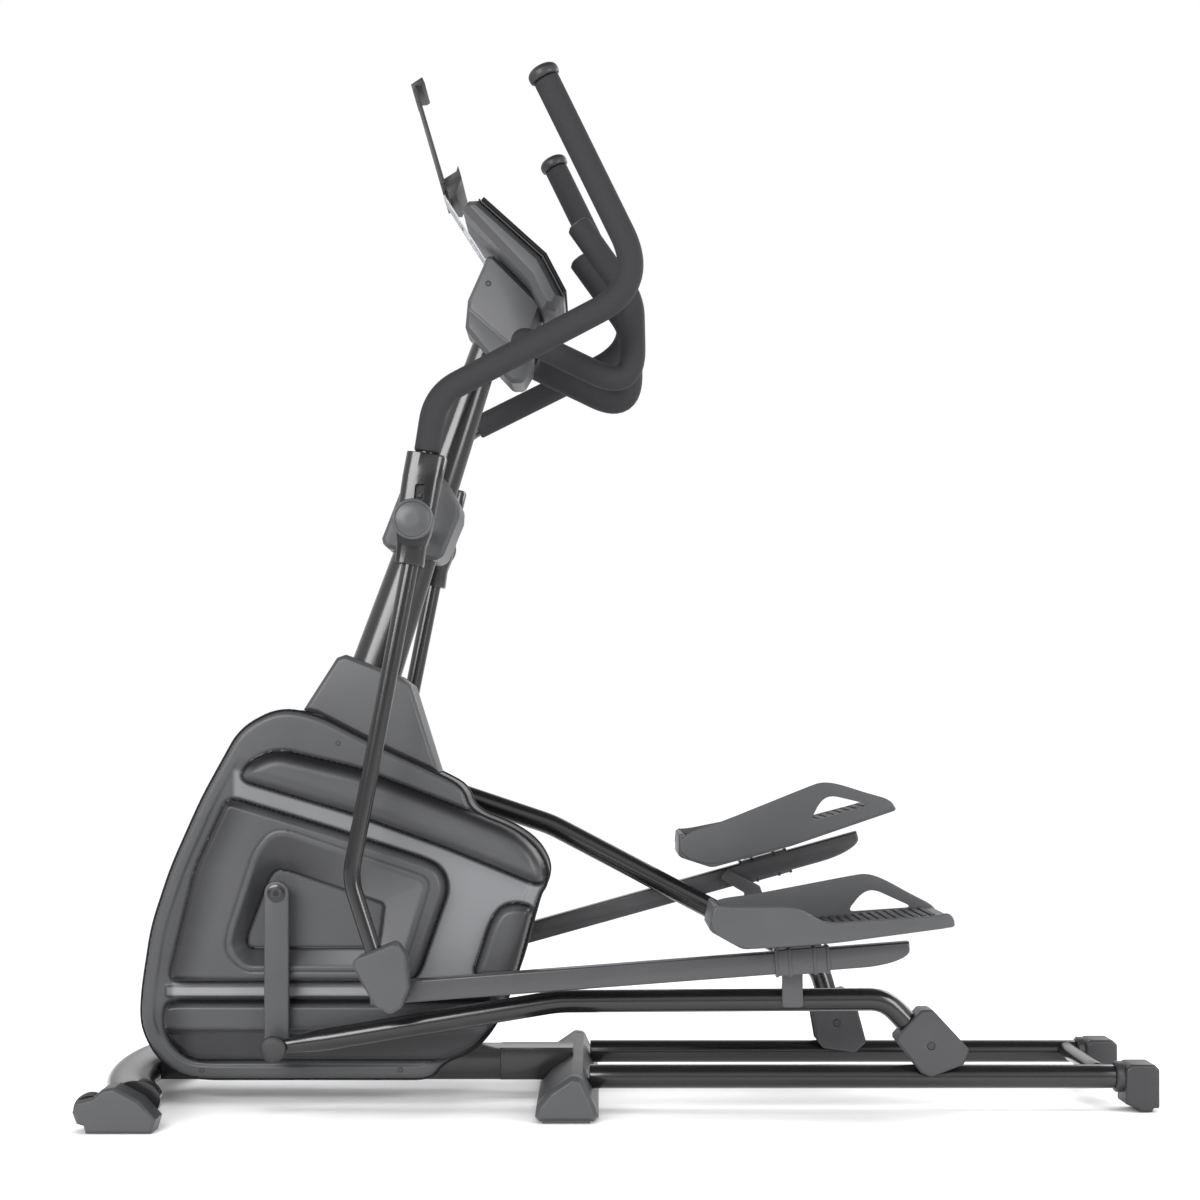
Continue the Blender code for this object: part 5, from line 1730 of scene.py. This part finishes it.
@dataclass
class SwingArm:
    """One side's moving handlebar, from its lower pivot to its grip."""

    side: Side
    plane: float = 0.2005
    tube_radius: float = 0.0127
    handle_radius: float = 0.0143
    foam_radius: float = 0.0192
    foam_start: float = 0.9835

    def at(self, x: float, z: float, y: float | None = None) -> Vector:
        """A point given in the machine's side view, seen from the pivot."""
        return Vector((x - SWING_AXIS[0], self.plane if y is None else y, z - SWING_AXIS[1]))

    def shown(self, blank: Blank, name: str, finish: Finish, stands_for: Sequence[str] = (),
              crease: float = 35.0) -> bpy.types.Object:
        """Place a blank on this arm and dress it.

        Args:
            blank: The shape, drawn about the pivot on +Y.
            name: The piece, without its side.
            finish: Its finish.
            stands_for: Nodes it replaces, without their side.
            crease: Edges sharper than this stay crisp.

        Returns:
            The piece.
        """
        obj = blank.placed(SWING_AXIS, self.side.swing, self.side.sign)
        made = obj.mesh_object(self.side.label(name))
        return dressed(made, finish, self.side.label("arm"),
                       [self.side.label(n) for n in stands_for], crease)

    def lower_arm(self) -> None:
        """The thin bent tube below the pivot, and its boss."""
        path = bent([self.at(-0.3200, 0.8400), self.at(-0.4128, 0.3560), self.at(-0.3520, 0.1680)],
                    [0.10])
        self.shown(tube(path, self.tube_radius), "arm_tube", STEEL_BLACK)
        boss = self.at(-0.357, 0.184)
        pin = Blank.turned([(0, 0.0110), (0.0010, 0.0120), (0.0218, 0.0120), (0.0228, 0.0110)],
                           (boss.x, 0.1872, boss.z), (0, 1, 0), 32)
        self.shown(pin, "arm_boss", STEEL_BLACK)
        softened(self.side.label("boss_cover"), COVER_GREY, 0.0028, 4)

    def sleeve(self) -> None:
        """The swelling sleeve that holds the handlebar, its hub, slot and cap."""
        stations = [((-0.3252, 0.8185), 0.0184, 0.0206), ((-0.3250, 0.8195), 0.0190, 0.0217),
                    ((-0.3220, 0.8440), 0.0190, 0.0217), ((-0.3214, 0.8490), 0.0196, 0.0226),
                    ((-0.3190, 0.8660), 0.0226, 0.0266), ((-0.3140, 0.8950), 0.0230, 0.0285),
                    ((-0.3060, 0.9450), 0.0230, 0.0292), ((-0.2988, 0.9790), 0.0226, 0.0300),
                    ((-0.2985, 0.9810), 0.0212, 0.0284)]
        rings = []
        for k, ((x, z), half_side, half_up) in enumerate(stations):
            before = self.at(*stations[max(0, k - 1)][0])
            after = self.at(*stations[min(len(stations) - 1, k + 1)][0])
            tangent = (after - before).normalized()
            up = tangent.cross(Vector((0, 1, 0)))
            here = self.at(x, z)
            ring = []
            for a in (2 * math.pi * i / 48 for i in range(48)):
                c, s = math.cos(a), math.sin(a)
                flat = abs(c) ** 0.55 * math.copysign(1, c), abs(s) ** 0.8 * math.copysign(1, s)
                sideways = Vector((0, flat[0] * half_side, 0))
                ring.append(tuple(here + sideways + up * flat[1] * half_up))
            rings.append(np.array(ring))
        body = Blank.loft(rings)
        obj = body.placed(SWING_AXIS, self.side.swing, self.side.sign)
        obj = obj.mesh_object(self.side.label("arm_sleeve"))
        slot_at = self.at(-0.3085, 0.925)
        outline = [(slot_at.x - 0.009, slot_at.z - 0.020), (slot_at.x + 0.005, slot_at.z - 0.022),
                   (slot_at.x + 0.008, slot_at.z + 0.010), (slot_at.x - 0.006, slot_at.z + 0.010)]
        slot = Blank.plate(rounded(outline, 0.004, 4), self.plane + 0.0150, 0.26, 0.0005, 1)
        cut(obj, slot.placed(SWING_AXIS, self.side.swing, self.side.sign))
        dressed(obj, STEEL_BLACK, self.side.label("arm"), [self.side.label("swing_arm")], 40)
        bolt = Blank.turned([(0, 0.0038), (0.0030, 0.0038), (0.0036, 0.0030), (0.0036, 0.0014)],
                            (slot_at.x, self.plane + 0.0152, slot_at.z - 0.006), (0, 1, 0), 24)
        self.shown(bolt, "slot_bolt", CAST_BLACK)
        hub = Blank.turned([(0, 0.0262), (0.0015, 0.0277), (0.0565, 0.0277), (0.0575, 0.0268)],
                           (0, 0.1660, 0), (0, 1, 0), 64)
        self.shown(hub, "arm_hub", STEEL_BLACK)
        face = [(0, 0.0292), (0.0008, 0.0302), (0.0042, 0.0302), (0.0062, 0.0286),
                (0.0062, 0.0268), (0.0056, 0.0262), (0.0062, 0.0256), (0.0074, 0.0240),
                (0.0075, 0.0080)]
        cap = Blank.turned(face, (0, 0.2240, 0), (0, 1, 0), 64)
        self.shown(cap, "hub_cap", COVER_GREY, ["pivot_cap"], 60)

    def handle(self) -> None:
        """The handlebar, its foam grip and its mushroom cap."""
        path = bent([self.at(-0.3085, 0.925), self.at(-0.2860, 1.068, 0.2020),
                     self.at(0.0256, 1.2286, 0.2150), self.at(-0.1231, 1.5280, 0.2220)],
                    [0.075, 0.085], 20)
        bar = tube(path, self.handle_radius, spacing=0.012)
        self.shown(bar, "handle_tube", STEEL_BLACK, ["handlebar"])
        along = (path[1] - path[0]).normalized()
        if self.side.sign < 0:
            start = path[0] + along * ((self.foam_start - 0.925) / along.z)
            covered = [start] + path[1:]
        else:
            covered = path[21:]
        line = with_rims(resampled(covered, 0.006), 0.0036)

        def size(start: float, end: float) -> Point2:
            """The foam's radius, drawn in at its two rims."""
            here = round_end(min(start, end), self.foam_radius, 0.0036)
            return here, here

        foam = self.shown(Blank.swept(line, size, 48), "grip_sleeve", GRIP_FOAM, ["foam_grip"], 70)
        axis = (path[-1] - path[-2]).normalized()
        profile = [(0.0003, 0.0196), (0.0006, 0.0212), (0.0022, 0.0226), (0.0050, 0.0232),
                   (0.0090, 0.0232)]
        profile += [(0.0090 + 0.0104 * math.sin(a), 0.0092 + 0.0140 * math.cos(a))
                    for a in np.linspace(0.12, 1.55, 9)]
        cap = Blank.turned(profile, path[-1], axis)
        self.shown(cap, "grip_end", DARK_MOULDED, ["grip_cap"], 60)

    def build(self) -> None:
        """Make every piece of the arm."""
        self.lower_arm()
        self.sleeve()
        self.handle()


# ---------------------------------------------------------------- console end
@dataclass
class Console:
    """The console, its neck, the tablet holder and the fixed handles."""

    face_line: tuple[Point2, ...] = ((-0.229, 1.379), (-0.132, 1.292), (-0.101, 1.233))
    handle_radius: float = 0.0190
    bezel_low: float = 0.0036
    bezel_high: float = 0.0092
    bezel_half: float = 0.1240

    def panel(self, name: str, finish: Finish, run: tuple[Point2, Point2], near: float, far: float,
              half: float, lift: float, thick: float) -> None:
        """A thin rounded panel that lies on one stretch of the console's face.

        Args:
            name: The piece.
            finish: Its finish.
            run: Top and bottom of the stretch, in the side view.
            near: Distance of the panel's top from the stretch's top.
            far: Distance of its bottom from there.
            half: Half its width.
            lift: Height of its back over the stretch.
            thick: Its thickness.
        """
        top, bottom = Vector(run[0]), Vector(run[1])
        down = (bottom - top).normalized()
        out = Vector((-down.y, down.x))
        corners = rounded([(-half, near), (half, near), (half, far), (-half, far)], 0.006, 6)
        rings = []
        for height, shrink in ((0, 0), (thick * 0.6, 0), (thick, 0.0008)):
            ring = []
            for y, d in inset(corners, shrink):
                spot = top + down * d + out * (lift + height)
                ring.append((spot.x, y, spot.y))
            rings.append(np.array(ring))
        made = Blank.loft(rings).placed((0, 0), 0, 1).mesh_object(name)
        dressed(made, finish, "frame", crease=30)

    def bezel(self) -> None:
        """The raised dark frame round the console's face."""
        top, knee, bottom = (Vector(point) for point in self.face_line)
        first, second = (knee - top).normalized(), (bottom - knee).normalized()
        up_first, up_second = Vector((-first.y, first.x)), Vector((-second.y, second.x))
        up_knee = (up_first + up_second).normalized()

        def band(points: Sequence[tuple[Vector, Vector]], y0: float, y1: float) -> Blank:
            """A strip on the face whose section follows the given points and directions."""
            low = [tuple(p + up * self.bezel_low) for p, up in points]
            high = [tuple(p + up * self.bezel_high) for p, up in reversed(points)]
            return Blank.plate(low + high, y0, y1, 0.0012, 3)

        start, end = top + first * 0.004, bottom - second * 0.004
        line = [(start, up_first), (knee, up_knee), (end, up_second)]
        half, rail = self.bezel_half, 0.012
        rails = [band(line, half - rail, half), band(line, -half, rail - half)]
        between = (rail - half, half - rail)
        crown = band([(start, up_first), (start + first * 0.009, up_first)], *between)
        sill = band([(end - second * 0.008, up_second), (end, up_second)], *between)
        made = rails[0].with_others(rails[1], crown, sill).placed((0, 0), 0, 1)
        dressed(made.mesh_object("console_bezel"), TRIM_BLACK, "frame", crease=40)

    @staticmethod
    def neck_grooves() -> list[Blank]:
        """The slanted grooves on both cheeks of the neck.

        Returns:
            Solids to cut away.
        """
        tools = []
        lines = (((-0.262, 1.2425), (-0.172, 1.1645)), ((-0.262, 1.1950), (-0.200, 1.1395)))
        for (ax, az), (bx, bz) in lines:
            along = Vector((bx - ax, bz - az)).normalized() * 0.0022
            across = (-along.y, along.x)
            outline = [(ax + across[0], az + across[1]), (ax - across[0], az - across[1]),
                       (bx - across[0], bz - across[1]), (bx + across[0], bz + across[1])]
            slot = Blank.plate(outline, 0.0432, 0.0600, 0.0002, 1)
            tools += [slot.placed((0, 0), 0, sign) for sign in (-1, 1)]
        return tools

    def pulse_handle(self, side: Side) -> None:
        """A fixed foam-covered handle that bends back on itself.

        Args:
            side: Its side.
        """
        path = bent([(-0.1620, 0.0466, 1.1730), (-0.1620, 0.1040, 1.1730),
                     (0.0079, 0.1050, 1.0914), (0.0049, 0.1050, 1.2300),
                     (-0.0776, 0.1090, 1.3449)], [0.032, 0.075, 0.080], 18)
        line = with_rims(resampled(path, 0.006), 0.0036)

        def size(start: float, end: float) -> Point2:
            """The foam's radius, drawn in at the free end."""
            here = round_end(end, self.handle_radius, 0.0036)
            return here, here

        foam = Blank.swept(line, size, 48, guide=(1, 0, 0)).placed((0, 0), 0, side.sign)
        foam = foam.mesh_object(side.label("pulse_foam"))
        dressed(foam, GRIP_FOAM, "frame", [side.label("pulse_handle")], 70)
        axis = (line[-1] - line[-6]).normalized()
        plug = Blank.turned([(0, 0.0150), (0.0012, 0.0150), (0.0022, 0.0140), (0.0024, 0.0040)],
                            line[-1], axis, 40)
        dressed(plug.placed((0, 0), 0, side.sign).mesh_object(side.label("pulse_plug")),
                PART_GREY, "frame")

    def build(self) -> None:
        """Make the console end."""
        softened("console_neck", COVER_GREY, 0.0035, 4, cuts=self.neck_grooves())
        softened("console_body", COVER_GREY, 0.0050, 5)
        dress_node("console_face", FACE_GLOSS)
        self.bezel()
        upper, lower = self.face_line[:2], self.face_line[1:]
        self.panel("screen_frame", DARK_MOULDED, upper, 0.014, 0.112, 0.094, 0.0036, 0.0006)
        self.panel("screen_glass", SCREEN_GLASS, upper, 0.020, 0.106, 0.088, 0.0041, 0.0006)
        for k in range(5):
            self.key(k)
        dress_node("holder_bracket", ZINC)
        softened("holder_plate", DARK_MOULDED, 0.0010, 2)
        softened("holder_clamp", DARK_MOULDED, 0.0008, 2)
        for side in SIDES:
            self.pulse_handle(side)
            screw_row(side.label("neck_screws"), "frame",
                      [(-0.2180, 0.0455 * side.sign, 1.2700)], side.sign)

    def key(self, place: int) -> None:
        """A blank touch pad below the screen.

        Args:
            place: 0 to 4, from the left.
        """
        top, bottom = Vector(self.face_line[1]), Vector(self.face_line[2])
        down = (bottom - top).normalized()
        out = Vector((-down.y, down.x))
        centre = top + down * 0.034 + out * 0.0042
        y = -0.072 + 0.036 * place
        pad = Blank.turned([(0, 0.0100), (0.0004, 0.0100), (0.0008, 0.0094), (0.0006, 0.0030)],
                           (centre.x, y, centre.y), (out.x, 0, out.y), 32)
        dressed(pad.placed((0, 0), 0, 1).mesh_object(f"touch_pad_{place + 1}"), PART_GREY, "frame")


# ---------------------------------------------------------------- studio
@dataclass(frozen=True)
class Softbox:
    """A large soft light: where it is, what it faces, its size and power."""

    name: str
    place: tuple[float, float, float]
    target: tuple[float, float, float]
    size: tuple[float, float]
    power: float
    mirrored: bool = True

    def build(self) -> bpy.types.Object:
        """Add the light and return it."""
        data = bpy.data.lights.new(self.name, "AREA")
        data.shape = "RECTANGLE"
        data.size, data.size_y = self.size
        data.energy = self.power
        obj = in_scene(self.name, data)
        obj.location = self.place
        obj.visible_glossy = self.mirrored
        aim = Vector(self.target) - Vector(self.place)
        obj.rotation_euler = aim.to_track_quat("-Z", "Y").to_euler()
        return obj


@dataclass
class Studio:
    """A white studio: pale floor, white surroundings, soft lights and the camera."""

    camera_place: tuple[float, float, float] = (-0.0413, -3.07, 0.560)
    lens: float = 58.35
    shift_up: float = 0.1167
    band: tuple[tuple[float, float], ...] = (
        (0.0, 0.50), (0.50, 0.50), (0.56, 0.50), (0.62, 1.15), (0.80, 1.15), (0.88, 0.20),
        (1.0, 0.10),
    )
    lights: tuple[Softbox, ...] = (
        Softbox("key", (-2.0, -3.4, 2.0), (0.0, 0.0, 0.5), (2.4, 1.6), 120.0),
        Softbox("side", (2.6, -2.4, 1.6), (0.0, 0.0, 0.5), (1.2, 2.2), 70.0),
        Softbox("top", (0.0, 0.2, 4.0), (0.0, 0.0, 0.4), (4.0, 3.0), 190.0, False),
        Softbox("rear", (2.6, 2.4, 2.2), (0.0, 0.0, 0.7), (2.0, 2.0), 50.0),
    )

    def floor(self) -> None:
        """A pale floor that runs into white far from the machine."""
        mesh = bpy.data.meshes.new("floor")
        corners = [(-20, -9, -0.0004), (20, -9, -0.0004), (20, 30, -0.0004), (-20, 30, -0.0004)]
        mesh.from_pydata(corners, [], [(0, 1, 2, 3)])
        obj = in_scene("floor", mesh)
        made = bpy.data.materials.new("floor_pale")
        made.use_nodes = True
        tree = made.node_tree
        shader = tree.nodes["Principled BSDF"]
        shader.inputs["Roughness"].default_value = 0.6
        shader.inputs["Specular IOR Level"].default_value = 0.1
        shader.inputs["Emission Color"].default_value = (1, 1, 1, 1)
        place = node(tree, "ShaderNodeTexCoord").outputs["Object"]
        length = node(tree, "ShaderNodeVectorMath", operation="LENGTH")
        far = node(tree, "ShaderNodeMapRange", interpolation_type="SMOOTHSTEP")
        far.inputs["From Min"].default_value = 1.1
        far.inputs["From Max"].default_value = 2.6
        drift = Finish.grouped(tree, DRIFT, place, Scale=1.5, Contrast=0.8)
        near = node(tree, "ShaderNodeMix", data_type="RGBA")
        near.inputs[MIX_FIRST].default_value = (0.80, 0.80, 0.80, 1)
        near.inputs[MIX_SECOND].default_value = (0.84, 0.84, 0.84, 1)
        tint = node(tree, "ShaderNodeMix", data_type="RGBA")
        tint.inputs[MIX_SECOND].default_value = (0, 0, 0, 1)
        tree.links.new(place, length.inputs[0])
        tree.links.new(length.outputs["Value"], far.inputs["Value"])
        tree.links.new(drift.outputs["Mask"], near.inputs["Factor"])
        tree.links.new(far.outputs["Result"], tint.inputs["Factor"])
        tree.links.new(near.outputs[MIX_RESULT], tint.inputs[MIX_FIRST])
        tree.links.new(tint.outputs[MIX_RESULT], shader.inputs["Base Color"])
        tree.links.new(far.outputs["Result"], shader.inputs["Emission Strength"])
        mesh.materials.append(made)

    def surroundings(self) -> None:
        """White to the eye; for the lights' sake a bright band over a darker horizon."""
        world = bpy.data.worlds.new("studio")
        world.use_nodes = True
        tree = world.node_tree
        back = tree.nodes["Background"]
        direction = node(tree, "ShaderNodeTexCoord").outputs["Generated"]
        split = node(tree, "ShaderNodeSeparateXYZ")
        level = node(tree, "ShaderNodeMapRange")
        level.inputs["From Min"].default_value = -1.0
        ramp = node(tree, "ShaderNodeValToRGB")
        stops = ramp.color_ramp.elements
        while len(stops) < len(self.band):
            stops.new(0.5)
        for stop, (at, value) in zip(stops, self.band):
            stop.position = at
            stop.color = (value, value, value, 1)
        seen = node(tree, "ShaderNodeLightPath").outputs["Is Camera Ray"]
        white = node(tree, "ShaderNodeMix", data_type="RGBA")
        white.inputs[MIX_SECOND].default_value = (1, 1, 1, 1)
        tree.links.new(direction, split.inputs[0])
        tree.links.new(split.outputs["Z"], level.inputs["Value"])
        tree.links.new(level.outputs["Result"], ramp.inputs["Fac"])
        tree.links.new(seen, white.inputs["Factor"])
        tree.links.new(ramp.outputs["Color"], white.inputs[MIX_FIRST])
        tree.links.new(white.outputs[MIX_RESULT], back.inputs["Color"])
        bpy.context.scene.world = world

    def build(self) -> None:
        """Add everything that isn't the machine."""
        self.floor()
        self.surroundings()
        only_floor = bpy.data.collections.new("only_floor")
        only_floor.objects.link(bpy.data.objects["floor"])
        for light in self.lights:
            made = light.build()
            if not light.mirrored:
                made.light_linking.receiver_collection = only_floor
        bpy.context.scene.view_settings.view_transform = "Standard"
        data = bpy.data.cameras.new("view")
        data.sensor_width = 36.0
        data.lens = self.lens
        data.shift_y = self.shift_up
        camera = in_scene("view", data)
        camera.location = self.camera_place
        camera.rotation_euler = (math.radians(90), 0, 0)
        bpy.context.scene.camera = camera


def main() -> None:
    """Build the machine, then the studio."""
    logging.basicConfig(level=logging.INFO, format="%(message)s")
    Base().build()
    MastCovers().build()
    Console().build()
    for side in SIDES:
        SideCover(side).build()
        Linkage(side).build()
        SwingArm(side).build()
    Studio().build()
    bpy.context.view_layer.update()


if __name__ == "__main__":
    main()
